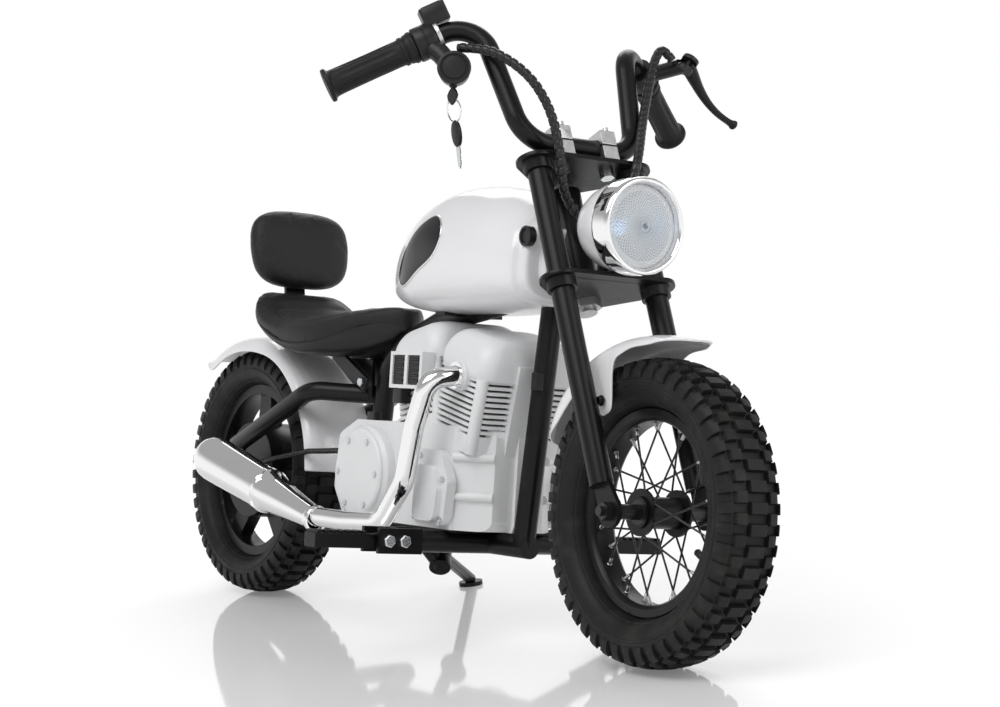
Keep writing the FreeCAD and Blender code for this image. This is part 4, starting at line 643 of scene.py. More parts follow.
def closed_curve(corners, count):
    """Smooth closed line through corners."""
    n = len(corners)
    line = []
    for i in range(count):
        u = i * n / count
        k = int(u)
        t = u - k
        p0, p1, p2, p3 = (Vector(corners[(k + j) % n]) for j in (-1, 0, 1, 2))
        line.append(0.5 * (2 * p1 + (p2 - p0) * t + (2 * p0 - 5 * p1 + 4 * p2 - p3) * t**2
                           + (3 * p1 - p0 - 3 * p2 + p3) * t**3))
    return line


def on_flank(point, side, standout):
    """A place on one flank of the tank."""
    return Vector((point.x, side * (tank_side(*point) + standout), point.y))


def badges():
    """Gloss plates with a bright rim, one on each flank."""
    edge = closed_curve(BADGE_CORNERS, BADGE_STEPS)
    plate, trim = Form(), Form()
    for side in (-1, 1):
        rows = [[on_flank(BADGE_MIDDLE + (p - BADGE_MIDDLE) * share, side, out) for p in edge]
                for share, out in BADGE_LAYERS]
        plate.skin(rows, ends=True)
        rim = [on_flank(p, side, TRIM_STANDOUT) for p in edge]
        trim.hoop(rim, Vector((0, side, 0)), TRIM_RADIUS, steps=10)
    plate.make("badge_plates", BADGE, "chassis", ["tank_badges"], sharp=30)
    trim.make("badge_rims", CHROME, "chassis", slot="badge")


badges()


# Fenders

FENDER_WALL = 2.4
FENDER_COLUMNS = 44
# Front fender across from its middle: offset and radius
FRONT_CROWN = (
    (0, 183), (12, 182.6), (22, 181.4), (30, 179.2), (36, 175.8), (40.4, 171), (42.6, 165), (43.4, 158),
    (43.6, 100),
)
# Front fender: angle from straight up, half arc across, how far it flares out
FRONT_EDGE = (
    (-69.6, 3, -12), (-69, 18, -11.4), (-67, 32, -9.6), (-63, 46, -6.4), (-57, 56, -2.8), (-50, 60, -0.6),
    (-38, 62, 0), (-34, 70, 0), (-32, 83, 0), (-30, 98, 0), (-28, 106, 0), (-24, 108, 0), (-19, 105, 0),
    (-17, 92, 0), (-15.2, 70, 0), (-13, 57, 0), (-9, 52, 0), (-5.4, 48, 0), (5, 42, 0.8), (10.6, 31, 2),
    (12.9, 25, 2.6), (15, 15, 3.2), (16.1, 6, 3.6), (16.4, 2, 3.8),
)
FRONT_ANGLES = sorted(set(spread(-69.6, 16.4, 92)) | {-69.2, -68, 16.1})
# Rear fender: angle from straight up, crown radius, skirt's lower edge, share of the half arc
REAR_EDGE = (
    (-36.8, 178, 166, 0.74), (-36.4, 177.6, 162, 0.84), (-35.4, 177, 157, 0.94), (-33.5, 176.4, 152.5, 0.99),
    (-30, 175.6, 150, 1), (-20, 175, 151, 1), (-2, 175.5, 153, 1), (13, 178, 157, 1), (33, 185, 167, 1),
    (53, 192, 175, 1), (71, 196, 182, 1), (88, 198, 185, 1),
)
# Rear fender across from its middle: offset and share of the drop to the skirt's edge
REAR_CROWN = (
    (0, 0), (14, 0.02), (26, 0.07), (36, 0.18), (42.6, 0.34), (46.6, 0.55), (48.8, 0.78), (49.4, 1),
)
REAR_ANGLES = sorted(set(spread(-36.8, 88, 84)) | {-36.4, -36})


def along(line, distance):
    """Point at a distance along corners."""
    for (y0, r0), (y1, r1) in zip(line, line[1:]):
        run = math.hypot(y1 - y0, r1 - r0)
        if distance <= run:
            t = distance / run
            return y0 + (y1 - y0) * t, r0 + (r1 - r0) * t
        distance -= run
    return line[-1]


def fender(name, x, angles, section, node, body):
    """Curved sheet over a wheel: its half section and half arc at each angle, given a wall."""
    rows = []
    for angle in angles:
        line, half = section(angle)
        a = math.radians(angle)
        row = []
        for i in range(-FENDER_COLUMNS // 2, FENDER_COLUMNS // 2 + 1):
            share = 2 * i / FENDER_COLUMNS
            y, r = along(line, abs(share) * half)
            row.append((x + r * math.sin(a), math.copysign(y, share), AXLE_Z + r * math.cos(a)))
        rows.append(row)
    piece = Form().skin(rows, around=False).make(name, WHITE, body, [node], sharp=60)
    wall = piece.modifiers.new("wall", "SOLIDIFY")
    wall.thickness = FENDER_WALL * MM
    wall.offset = 1 if faces_wheel(piece) else -1
    subdivide(piece)


def faces_wheel(piece):
    """Whether a fender's faces look in at the wheel."""
    middle = piece.data.polygons[len(piece.data.polygons) // 2]
    return middle.normal.z < 0


def front_section(angle):
    """The front fender's half section and half arc at an angle."""
    half, flare = through(FRONT_EDGE, angle)
    return [(y, r + flare) for y, r in FRONT_CROWN], half


def rear_section(angle):
    """The rear fender's half section and half arc at an angle."""
    crown, edge, share = through(REAR_EDGE, angle)
    line = [(y, crown - (crown - edge) * drop) for y, drop in REAR_CROWN]
    length = sum(math.hypot(b[0] - a[0], b[1] - a[1]) for a, b in zip(line, line[1:]))
    return line, share * length


fender("front_mudguard", 0.0, FRONT_ANGLES, front_section, "front_fender", "steering")
fender("rear_mudguard", REAR_X, REAR_ANGLES, rear_section, "rear_fender", "chassis")


# Seat and backrest

# Along the seat: place, half width, top of the rolled border, seam height, depth of the dish
SEAT_ROWS = (
    (-793, 16, 387, 376, 0), (-791.5, 32, 392, 373, 0), (-787, 50, 395, 370, 0), (-777, 66, 393, 364, 0),
    (-764, 75, 383, 356, -6), (-748, 79.5, 370, 349, -4), (-730, 81.5, 360.5, 342, 1), (-710, 82, 355.5, 335, 5),
    (-685, 82, 352.5, 328.5, 9), (-650, 80.5, 353.5, 326, 12), (-610, 73, 359, 330.5, 12),
    (-575, 60, 366.5, 341.5, 9), (-548, 45, 372.5, 349.5, 5), (-528, 32, 376, 354, 2), (-514, 21, 376.5, 356, 0.5),
    (-505, 12, 374, 357.5, 0), (-501.5, 4, 369, 360, 0),
)
SEAT_PLACES = (-785, -510, 54)
SEAT_ROLL = 18
SEAT_FLOOR = 11
PLEAT_PITCH = 14.0
PLEAT_DEPTH = 1.5
PLEAT_WIDTH = 4.0
PLEAT_FIRST = -655.0
PLEAT_LAST = -780.0
PLEAT_BORDER = 24
PLEAT_LOWEST = 4
SEAT_SWELL = 0.003
BACKREST_SWELL = 0.004


def seat_section(x):
    """Closed outline of the seat across the bike."""
    half, top, seam, dish = through(SEAT_ROWS, x)
    roll = min(SEAT_ROLL, half * 0.35)
    side = top - seam
    right = [
        (0, top - dish), (0.3 * half, top - dish * 0.97), (0.55 * half, top - dish * 0.86),
        (half - 1.65 * roll, top - dish * 0.6), (half - 1.15 * roll, top - dish * 0.16),
        (half - 0.78 * roll, top), (half - 0.4 * roll, top - 0.09 * side), (half - 0.1 * roll, top - 0.26 * side),
        (half, top - 0.5 * side), (half - 0.4, top - 0.8 * side), (half - 2, seam), (half - 0.5 * roll, seam - 3),
        (half - roll, seam - 10), (0.3 * half, seam - SEAT_FLOOR),
    ]
    left = [(-y, z) for y, z in reversed(right[1:])]
    return [(x, y, z) for y, z in right + [(0, seam - SEAT_FLOOR)] + left]


def seat():
    """Solo saddle: dished middle with pressed pleats inside a rolled border."""
    places = sorted({row[0] for row in SEAT_ROWS} | set(spread(*SEAT_PLACES)))
    form = Form().skin([seat_section(x) for x in places], ends=True)
    cushion("seat_cushion", form, "chassis", "seat_pad", SEAT_SWELL, pleat)


def pleat(point):
    """How far the seat's top is pressed down at a point, in millimetres."""
    if not PLEAT_LAST < point.x < PLEAT_FIRST:
        return 0.0
    half, _, seam, _ = through(SEAT_ROWS, point.x)
    if abs(point.y) > half - PLEAT_BORDER or point.z < seam + PLEAT_LOWEST:
        return 0.0
    off = abs((PLEAT_FIRST - point.x) % PLEAT_PITCH - PLEAT_PITCH / 2)
    return PLEAT_DEPTH * max(0.0, 1 - (off / PLEAT_WIDTH) ** 2)


BACKREST_FOOT = Vector((-790.3, 0, 369))
BACKREST_RISE = 79.0
RECLINE = math.radians(-12)
# Backrest pad through its thickness: depth and share of its outline
PAD_LAYERS = (
    (0.5, 0.05), (0, 0.5), (0.5, 0.82), (3, 0.92), (8, 0.98), (14, 1), (19, 0.992), (23.5, 0.965), (27, 0.92),
    (29.6, 0.865), (31, 0.81), (32.2, 0.72), (33.4, 0.5), (34.2, 0.25), (34.4, 0.04),
)
PAD_HALF_WIDTH = 71.0
PAD_HALF_HEIGHT = 51.0
PAD_CURVE = 3.4
PAD_TAPER = 0.06
PAD_STEPS = 64


def backrest():
    """Reclined pad with rolled edges, a little narrower at the bottom."""
    lean = Matrix.Rotation(RECLINE, 4, "Y")
    rows = []
    for depth, share in PAD_LAYERS:
        row = []
        for a in turns(PAD_STEPS):
            c, s = (square_off(v, PAD_CURVE) for v in (math.cos(a), math.sin(a)))
            width = PAD_HALF_WIDTH * share * (1 - PAD_TAPER * max(0.0, -s))
            rise = BACKREST_RISE + s * PAD_HALF_HEIGHT * share
            row.append(BACKREST_FOOT + lean @ Vector((depth, c * width, rise)))
        rows.append(row)
    cushion("backrest_cushion", Form().skin(rows, ends=True), "chassis", "backrest_pad", BACKREST_SWELL)


def cushion(name, form, body, node, most, press=None):
    """Padded piece: the drawn shape blown up a little as a cloth bag, then pressed where it is pleated."""
    piece = form.make(name, VINYL, body, [node], sharp=180)
    swell(piece, most)
    if press:
        back = PARK.inverted()
        down = PARK.to_3x3() @ Vector((0, 0, -1))
        for vertex in piece.data.vertices:
            vertex.co += down * press(back @ vertex.co)
    subdivide(piece)


CLOTH_VOXEL = 0.004
CLOTH_PRESSURE = 4
CLOTH_QUALITY = 4
CLOTH_STEPS = 20


def swell(piece, most):
    """Remesh a closed form evenly and let cloth pressure round it, moving no point further than most."""
    scene = bpy.context.scene
    even = piece.modifiers.new("even", "REMESH")
    even.mode = "VOXEL"
    even.voxel_size = CLOTH_VOXEL
    even.use_smooth_shade = True
    keep_shape(piece, "even")
    rest = [v.co.copy() for v in piece.data.vertices]
    bag = piece.modifiers.new("bag", "CLOTH")
    bag.settings.use_pressure = True
    bag.settings.uniform_pressure_force = CLOTH_PRESSURE
    bag.settings.effector_weights.gravity = 0
    bag.settings.quality = CLOTH_QUALITY
    for step in range(CLOTH_STEPS):
        scene.frame_set(step + 1)
    keep_shape(piece, "bag")
    scene.frame_set(1)
    for vertex, start in zip(piece.data.vertices, rest):
        move = vertex.co - start
        vertex.co = start + move * min(1, most / max(move.length, 1e-9))


def keep_shape(piece, modifier):
    """Write a modifier's result into the mesh and drop the modifier."""
    shape = bpy.data.meshes.new_from_object(piece.evaluated_get(bpy.context.evaluated_depsgraph_get()))
    piece.modifiers.remove(piece.modifiers[modifier])
    shade_smooth(shape)
    piece.data = shape


seat()
backrest()

# Along the pan under the seat: place and height of its floor
PAN_FLOOR = (
    (-790, 364), (-775, 350), (-750, 338), (-725, 326), (-700, 318), (-675, 313.5), (-645, 311.5), (-600, 313),
    (-570, 318), (-542, 326), (-516, 338), (-506, 348),
)
# Pan's side from the seam down: shares of its depth and of its half width
PAN_SIDE = ((0.2, 1), (0.55, 0.95), (0.85, 0.86), (1, 0.74))
PAN_PLACES = (-789, -507, 60)
PAN_INSET = 3.0
PAN_LEAST = 3
STRUT_Y = 24.0
STRUT_TOP = Vector((-636, 0, 316))
STRUT_FOOT = Vector((-556, 0, 277))
STRUT_HALF = 9.0
STRUT_THICK = 5.0
STRUT_BOLT = (6, 4)


def seat_pan():
    """Moulded pan that carries the cushion, rounded in below."""
    rows = []
    for x in spread(*PAN_PLACES):
        half, _, seam, _ = through(SEAT_ROWS, x)
        floor = through(PAN_FLOOR, x)[0]
        half = max(half - PAN_INSET, PAN_LEAST)
        side = [(0, seam), (half - 1, seam)]
        side += [(half * width, seam - (seam - floor) * drop) for drop, width in PAN_SIDE]
        side.append((0, floor))
        rows.append([(x, -y, z) for y, z in side] + [(x, y, z) for y, z in reversed(side[1:-1])])
    Form().skin(rows, ends=True).make("seat_pan", PLASTIC, "chassis", ["seat_base"], sharp=40, bevel=1.2)


def seat_struts():
    """Flat struts from the pan down to the frame, with a plated bolt in each."""
    form, bolts = Form(), Form()
    run = (STRUT_FOOT - STRUT_TOP).normalized()
    wide = Vector((run.z, 0, -run.x)) * STRUT_HALF
    for side in (-1, 1):
        y = Vector((0, side * STRUT_Y, 0))
        outline = [STRUT_TOP + wide + y, STRUT_FOOT + wide + y, STRUT_FOOT - wide + y, STRUT_TOP - wide + y]
        form.plate(outline, (0, side, 0), STRUT_THICK)
        face = STRUT_FOOT - run * STRUT_HALF + y * (1 + STRUT_THICK / STRUT_Y)
        bolts.hexagon(face, (0, side, 0), *STRUT_BOLT)
    form.make("seat_struts", POWDER, "chassis", bevel=1.0)
    bolts.make("strut_bolts", ZINC, "chassis", bevel=0.4)


seat_pan()
seat_struts()


# Headlight: profiles of distance along its axis and radius

LAMP_AXIS = Vector((1, 0, 0))
LAMP_BACK = LAMP_FRONT - LAMP_AXIS * 88
# From the bowl's back
BOWL = (
    (0, 0), (0, 12), (1.2, 19), (4.5, 26), (10, 33), (18, 39.3), (28, 44), (40, 47.2), (52, 48.8), (62, 49.5),
    (74, 49.5), (74, 47), (50, 46), (28, 41), (10, 28), (4, 12), (4, 0),
)
# From the lamp's front
BEZEL = (
    (-27, 49.6), (-27.4, 51.4), (-26.6, 52.3), (-24, 52.5), (-7, 52.5), (-3.4, 52.1), (-1.2, 51), (-0.3, 49.6),
    (-0.2, 48.2), (-1, 46.8), (-3, 45.6), (-6.5, 44.8), (-11.6, 44.5), (-12, 45.5), (-12, 49.4), (-27, 49.6),
)
DISH_CURVE = (
    (-86, 9), (-74, 21), (-58, 31), (-40, 38), (-22, 42), (-14, 42.4), (-14, 41), (-40, 36.4), (-58, 29.4),
    (-74, 19.4), (-84, 9), (-86, 9),
)
BULB_HOLDER = ((-86, 0), (-86, 8.4), (-58, 8.4), (-56, 7), (-47, 7), (-47, 0))
BULB_CURVE = ((-47.5, 0), (-47.5, 5.8), (-43, 6.2), (-39, 4.6), (-37.4, 2), (-37, 0))
LENS_RIM = -9.5
LENS_BACK = -12
LENS_DOME = 7.0
LENS_BUTTON = 0.9
LENS_CROWDING = 0.9


def lens_front(radius):
    """How far the lens face stands at a radius."""
    return LENS_RIM + LENS_DOME * (1 - (radius / LENS_RADIUS) ** 2)


def on_lens(radius, ray, out):
    """A point of the lens by radius, ray and how far it stands."""
    a = 2 * math.pi * ray / LENS_RAYS
    return LAMP_FRONT + Vector((out, radius * math.sin(a), radius * math.cos(a)))


def lens():
    """Pressed glass with a raised cushion between each pair of rings and rays."""
    glass = Form()
    rings = [LENS_RADIUS * (i / LENS_RINGS) ** LENS_CROWDING for i in range(LENS_RINGS + 1)]
    for near, far in zip(rings, rings[1:]):
        middle = (near + far) / 2
        for ray in range(LENS_RAYS):
            corners = ((near, ray), (far, ray), (far, ray + 1), (near, ray + 1))
            points = [on_lens(r, t, lens_front(r)) for r, t in corners]
            points.append(on_lens(middle, ray + 0.5, lens_front(middle) + LENS_BUTTON))
            *edge, top = glass.row(points)
            glass.faces += [(edge[i - 1], edge[i], top) for i in range(4)]
    back = ((LENS_RADIUS, lens_front(LENS_RADIUS)), (LENS_RADIUS, LENS_BACK), (0, LENS_BACK))
    glass.skin([[on_lens(r, ray, out) for ray in range(LENS_RAYS)] for r, out in back])
    glass.make("lamp_lens", LENS, "steering", ["headlight_lens"], sharp=8)


def headlight():
    """White bowl, chrome bezel, bright dish with its bulb, and lens."""
    bowl = Form().lathe(BOWL, LAMP_BACK, LAMP_AXIS, steps=72)
    bowl.make("lamp_bowl", WHITE, "steering", ["headlight_bowl"], sharp=50)
    bezel = Form().lathe(BEZEL, LAMP_FRONT, LAMP_AXIS, steps=96)
    bezel.make("lamp_bezel", CHROME, "steering", ["headlight_bezel"], sharp=60)
    dish = Form().lathe(DISH_CURVE, LAMP_FRONT, LAMP_AXIS, steps=40)
    dish.lathe(BULB_HOLDER, LAMP_FRONT, LAMP_AXIS, steps=28)
    dish.make("lamp_dish", DISH, "steering", ["headlight_reflector"], sharp=20)
    bulb = Form().lathe(BULB_CURVE, LAMP_FRONT, LAMP_AXIS, steps=28)
    bulb.make("lamp_bulb", BULB, "steering", slot="reflector", sharp=20)
    lens()


headlight()


# Looms in spiral wrap

LOOM_ROUTES = {
    "throttle_loom": (
        (-240, -125, 647), (-214, -113, 646), (-190, -99, 637), (-166, -80, 616), (-151, -66, 588),
        (-143, -58, 560), (-138, -52, 526), (-146, -42, 496), (-150, -24, 474), (-134, -10, 462),
    ),
    "brake_loom": (
        (-218, 151, 668), (-222, 140, 683), (-216, 124, 666), (-200, 105, 624), (-180, 85, 586), (-142, 54, 542),
        (-138, 46, 520), (-144, 38, 488), (-144, 33, 458), (-138, 27, 430), (-139.3, 26, 386.9),
    ),
}
WRAP_RADIUS = 5.3
WRAP_CORE = 4.2
WRAP_PITCH = 9.4
WRAP_BAND = 0.84
WRAP_EDGE = 0.08
WRAP_STEP = 0.55


def wrap_radius(length, angle):
    """Radius of the ribbon or of the wires showing between its turns."""
    turn = (length / WRAP_PITCH - angle / (2 * math.pi)) % 1
    rise = min(turn / WRAP_EDGE, (WRAP_BAND - turn) / WRAP_EDGE)
    return WRAP_CORE + (WRAP_RADIUS - WRAP_CORE) * min(max(rise, 0), 1)


for name, route in LOOM_ROUTES.items():
    line = even_steps(smooth_line(name, route), WRAP_STEP)
    Form().tube(line, wrap_radius, steps=18).make(name + "_wrapped", WRAP, "steering", [name], sharp=50)


# Grips

BAR_TOP = Vector((-246, -100, 683))
BAR_END = Vector((-325, -239, 597))
GRIP_LENGTH = 106.0
GRIP_AXIS = (BAR_END - BAR_TOP).normalized()
GRIP_INNER = BAR_END - GRIP_AXIS * GRIP_LENGTH
# Along the grip from the inside: distance, radius, depth of the flutes
GRIP_ROWS = (
    (0, 10, 0), (0, 17.4, 0), (0.6, 18, 0), (3.4, 18, 0), (4, 17.4, 0), (6, 16.6, 0), (9, 16.2, 0),
    (9.6, 15.4, 0), (11, 15.4, 0), (11.6, 16.2, 0), (15, 16.2, 0), (15.6, 15, 0), (17, 14.6, 0), (20, 14.6, 0),
    (26, 14.6, 0.9), (34, 14.6, 1.5), (50, 14.5, 1.7), (66, 14.6, 1.6), (80, 14.8, 1.2), (90, 15, 0.5),
    (95, 15.1, 0), (98, 15.3, 0), (100, 16.4, 0), (101, 18.4, 0), (101.6, 19, 0), (104.6, 19, 0),
    (105.6, 18.2, 0), (106, 16.6, 0), (105.4, 14, 0), (105.4, 0, 0),
)
FLUTES = 7
FLUTE_POINT = 0.6
GRIP_STEPS = 108


def grip(name, node, body, side):
    """Moulded grip with pointed flutes between two flanges."""
    axis, inner = (Vector((v.x, -side * v.y, v.z)) for v in (GRIP_AXIS, GRIP_INNER))
    across = axis.orthogonal().normalized()
    over = axis.cross(across)
    rows = []
    for t, radius, flute in GRIP_ROWS:
        row = []
        for a in turns(GRIP_STEPS):
            r = radius - flute * max(0.0, math.cos(FLUTES * a)) ** FLUTE_POINT
            row.append(inner + axis * t + (across * math.cos(a) + over * math.sin(a)) * r)
        rows.append(row)
    Form().skin(rows, ends=True).make(name, GRIP, body, [node], sharp=40)


grip("twist_grip", "throttle_grip", "throttle", -1)
grip("bar_grip", "left_grip", "steering", 1)


# Exhaust

MUFFLER_START = Vector((-530, -108, 118))
MUFFLER_END = Vector((-806, -108, 178))
# Silencer from its front: distance along, radius
MUFFLER_CURVE = (
    (-16, 13.2), (-16, 15.4), (-15, 16.2), (-8, 16.2), (-7, 15.4), (-6, 14.2), (2, 15), (40, 18.4), (80, 22.4),
    (104, 25), (106, 26.6), (107.4, 28), (115.6, 28), (117, 26.8), (118.4, 26.8), (170, 27.6), (230, 28.6),
    (252, 28.8), (262, 28), (270, 25.6), (276, 21.6), (280, 15.5), (281.6, 10), (280.6, 9), (270, 8.6), (262, 8),
    (262, 0),
)
HANGER = (-700, -97, 136)
HANGER_TOP = (-698, -66, 139)
HANGER_RADIUS = 7.5


def exhaust():
    """Megaphone silencer with its bands, rolled tail and hanger."""
    form = Form().lathe(MUFFLER_CURVE, MUFFLER_START, MUFFLER_END - MUFFLER_START, steps=72)
    form.make("silencer", CHROME, "chassis", ["exhaust_muffler"], sharp=40)
    hanger = Form().rod(HANGER, HANGER_TOP, HANGER_RADIUS, steps=24)
    hanger.make("silencer_hanger", POWDER, "chassis", bevel=0.6)


exhaust()


# Front wheel details

SPOKE_SETS = 7
SPOKE_STEP = 360 / (4 * SPOKE_SETS)
SPOKE_CROSS = 38.0
HUB_FLANGE = 21.0
HUB_FLANGE_Y = 26.0
NIPPLE_OUT = 95.0
NIPPLE_Y = 4
NIPPLE_CURVE = ((0, 0), (0, 2.6), (1.4, 2.6), (1.8, 2), (9, 1.9), (10, 1.5), (10, 0))
VALVE_OUT = 95.5
VALVE_ANGLE = 118.0
VALVE_CURVE = (
    (0, 0), (0, 5), (2, 4.6), (3, 3.6), (12, 3.4), (13, 3.9), (14, 4), (21, 3.9), (22, 3.2), (22, 0),
)


def on_wheel(radius, y, angle):
    """A place in the front wheel by radius and degrees from straight up."""
    a = math.radians(angle)
    return Vector((radius * math.sin(a), y, AXLE_Z + radius * math.cos(a)))


def wheel_details():
    """Spoke nipples and the tyre valve."""
    nipples = Form()
    for side in (-1, 1):
        for lead in (-1, 1):
            first = SPOKE_STEP * ((side > 0) + 2 * (lead > 0))
            for i in range(SPOKE_SETS):
                angle = first + 360 * i / SPOKE_SETS
                rim = on_wheel(NIPPLE_OUT, side * NIPPLE_Y, angle)
                hub = on_wheel(HUB_FLANGE, side * HUB_FLANGE_Y, angle + lead * SPOKE_CROSS)
                nipples.lathe(NIPPLE_CURVE, rim, hub - rim, steps=10)
    nipples.make("spoke_nipples", STEEL, "front_wheel")
    foot = on_wheel(VALVE_OUT, 0, VALVE_ANGLE)
    valve = Form().lathe(VALVE_CURVE, foot, Vector((0, 0, AXLE_Z)) - foot, steps=18)
    valve.make("tyre_valve", PLASTIC, "front_wheel")


wheel_details()


# Engine details

AIR_X = -379.0
AIR_Z = 296.0
AIR_FACE = -78.0
WINDOW_OFF = 16
WINDOW_HALF = (12.7, 16.7)
WINDOW_CORNER = 3
WINDOW_THICK = 2.2
LOUVRES = 5
LOUVRE_PITCH = 6
LOUVRE_HALF = 9.5
LOUVRE_RADIUS = 1.5


def air_windows():
    """Dark louvred inserts in the air box's two windows."""
    form = Form()
    front = AIR_FACE - WINDOW_THICK
    for side in (-1, 1):
        x = AIR_X + side * WINDOW_OFF
        form.plate(rounded_box(x, AIR_Z, *WINDOW_HALF, WINDOW_CORNER, AIR_FACE), (0, -1, 0), WINDOW_THICK)
        for i in range(LOUVRES):
            z = AIR_Z + LOUVRE_PITCH * (i - LOUVRES // 2)
            form.rod((x - LOUVRE_HALF, front, z), (x + LOUVRE_HALF, front, z), LOUVRE_RADIUS, steps=12)
    form.make("air_louvres", PLASTIC, "chassis", bevel=0.3)


air_windows()


# Controls

LOCK = Vector((-236, -132, 622))
LOCK_FACING = Vector((0.82, -0.56, 0.08))
# Key lock from its back: distance along, radius
LOCK_CURVE = (
    (-20, 0), (-20, 12), (-18, 15), (-10, 17), (4, 18), (10, 18.6), (11.4, 18.2), (12, 17), (12, 15),
    (10.6, 14.4), (10.6, 13), (11.6, 12.4), (12.2, 8), (12.4, 0),
)
# Throttle drum and strap: distance out from the grip's inner end, radius
DRUM_CURVE = (
    (-26, 11.4), (-26, 17), (-25, 18.4), (-23, 19), (-14, 19.4), (-13.4, 18.8), (-12.6, 18.8), (-12, 19.4),
    (-3, 19.4), (-1.6, 18.8), (-0.8, 17.4), (-0.8, 11.4), (-26, 11.4),
)
STRAP_CURVE = ((-26.4, 12), (-26.4, 17.4), (-31, 17.4), (-31, 12), (-26.4, 12))
# Arm from the drum's middle down to the lock
ARM_BACK = 12
ARM_BOW = Vector((2, 0, 2))
ARM_RADIUS = 11
GAUGE_HALF = (15, 14, 11)
GAUGE_SOFT = 2.5
GAUGE_BACK = 34.0
GAUGE_SIDE = 2
GAUGE_RISE = 23
GAUGE_WINDOW = ((-11, -10), (11, -10), (11, 10), (-11, 10))
GAUGE_WINDOW_RISE = 34.2
GAUGE_WINDOW_THICK = 0.8


def throttle_case():
    """Throttle drum with its seam, gauge box behind the bar and round key lock below."""
    form = Form().lathe(DRUM_CURVE, GRIP_INNER, GRIP_AXIS, steps=56)
    up = (Vector((0, 0, 1)) - GRIP_AXIS * GRIP_AXIS.z).normalized()
    side = GRIP_AXIS.cross(up)
    gauge = GRIP_INNER - GRIP_AXIS * GAUGE_BACK + side * GAUGE_SIDE
    form.block(gauge + up * GAUGE_RISE, (GRIP_AXIS, side, up), GAUGE_HALF, GAUGE_SOFT)
    form.lathe(LOCK_CURVE, LOCK, LOCK_FACING, steps=48)
    arm = GRIP_INNER - GRIP_AXIS * ARM_BACK
    form.tube([arm, (arm + LOCK) / 2 + ARM_BOW, LOCK], lambda run, a: ARM_RADIUS, steps=24)
    form.make("throttle_case", PLASTIC, "steering", ["throttle_housing"], sharp=40)
    glass = gauge + up * GAUGE_WINDOW_RISE
    window = Form().plate([glass + GRIP_AXIS * a + side * b for a, b in GAUGE_WINDOW], up, GAUGE_WINDOW_THICK)
    window.make("gauge_window", BADGE, "steering", bevel=0.4)
    strap = Form().lathe(STRAP_CURVE, GRIP_INNER, GRIP_AXIS, steps=40)
    strap.make("throttle_strap", SILVER, "steering", bevel=0.5)


throttle_case()

KEY_STEM = Vector((-236, -132, 600))
KEY_NECK = (2, 10)
KEY_NECK_RADIUS = 4.4
# Outline of the key's head from its stem: forward, up
KEY_HEAD = ((0, 4), (6, -1), (9.5, -6), (7, -12), (0, -17), (-7, -12), (-9.5, -6), (-6, -1))
KEY_HALF_THICK = 1.56
RING_PIVOT = Vector((-236, -132, 591))
RING_RADIUS = 13
RING_WIRE = 1.0
# Spare key below the ring's pivot: its oval head through its thickness, as offset and share, then its blade
SPARE_DROP = 39
SPARE_HALF_WIDTH = 8.2
SPARE_HALF_HEIGHT = 15
SPARE_LAYERS = ((-2.8, 0.1), (-2.8, 0.7), (-2, 0.93), (0, 1), (2, 0.93), (2.8, 0.7), (2.8, 0.1))
SPARE_BLADE = (
    (-3.4, -50), (3.4, -50), (3.4, -60), (2.2, -62), (3.2, -64.5), (1.8, -67), (3, -69.5), (1.6, -73), (0, -77),
    (-3.4, -74),
)
SPARE_THICK = 1.8


def keys():
    """Ignition key with a moulded head, and the spare on a wire ring that hangs plumb."""
    head = [[KEY_STEM + Vector((x, y, z)) for x, z in KEY_HEAD] for y in (-KEY_HALF_THICK, KEY_HALF_THICK)]
    neck = [KEY_STEM + Vector((0, 0, z)) for z in KEY_NECK]
    form = Form().skin(head, ends=True).rod(*neck, KEY_NECK_RADIUS, steps=24)
    form.make("key_head", PLASTIC, "key", ["ignition_key"], sharp=30, bevel=0.9)
    plumb = Matrix.Rotation(LEAN, 3, "X")
    forward, aside, up = (plumb @ Vector(axis) for axis in ((1, 0, 0), (0, 1, 0), (0, 0, 1)))
    ring = circle(RING_PIVOT - up * RING_RADIUS, up, forward, RING_RADIUS, steps=40)
    Form().hoop(ring, aside, RING_WIRE, steps=8).make("key_ring", CHROME, "ring", slot="steel")
    middle = RING_PIVOT - up * SPARE_DROP
    rows = [circle(middle + aside * y, forward * SPARE_HALF_WIDTH, up * SPARE_HALF_HEIGHT, share, steps=36)
            for y, share in SPARE_LAYERS]
    Form().skin(rows, ends=True).make("spare_head", PLASTIC, "ring", ["spare_key"], sharp=40)
    near = RING_PIVOT - aside * (SPARE_THICK / 2)
    blade = Form().plate([near + forward * x + up * z for x, z in SPARE_BLADE], aside, SPARE_THICK)
    blade.make("spare_blade", ZINC, "ring", bevel=0.3)


keys()

# Brake lever from its pivot: its route, and its radius by share of its length
LEVER_ROUTE = (
    (-207, 165, 664), (-212, 179, 651), (-218, 196, 636), (-222, 215, 622), (-224.5, 236, 611.5), (-225, 256, 605),
)
LEVER_RADII = (
    (0, 8.6), (0.12, 8), (0.3, 6.2), (0.55, 4.6), (0.85, 3.9), (0.925, 4.4), (0.955, 5.8), (0.98, 5.6), (0.993, 4),
    (1, 1.5),
)
LEVER_STEP = 1.5
LEVER_FLAT = 0.18


def lever():
    """Tapered lever blade with a ball end, and its eye on the pivot."""
    line = even_steps(smooth_line("lever_line", LEVER_ROUTE), LEVER_STEP)
    length = sum((b - a).length for a, b in zip(line, line[1:]))

    def radius(run, a):
        return through(LEVER_RADII, run / length)[0] * (1 - LEVER_FLAT * abs(math.sin(a)))

    Form().tube(line, radius, steps=20).make("lever_blade", POWDER, "lever", ["brake_lever"], sharp=50)


lever()


# Smaller fittings

PEG_BOLT_X = -286.0
PEG_BOLT_Y = (128, 148)
PEG_BOLT_Z = 106.0
PEG_BOLT = (7.5, 5)
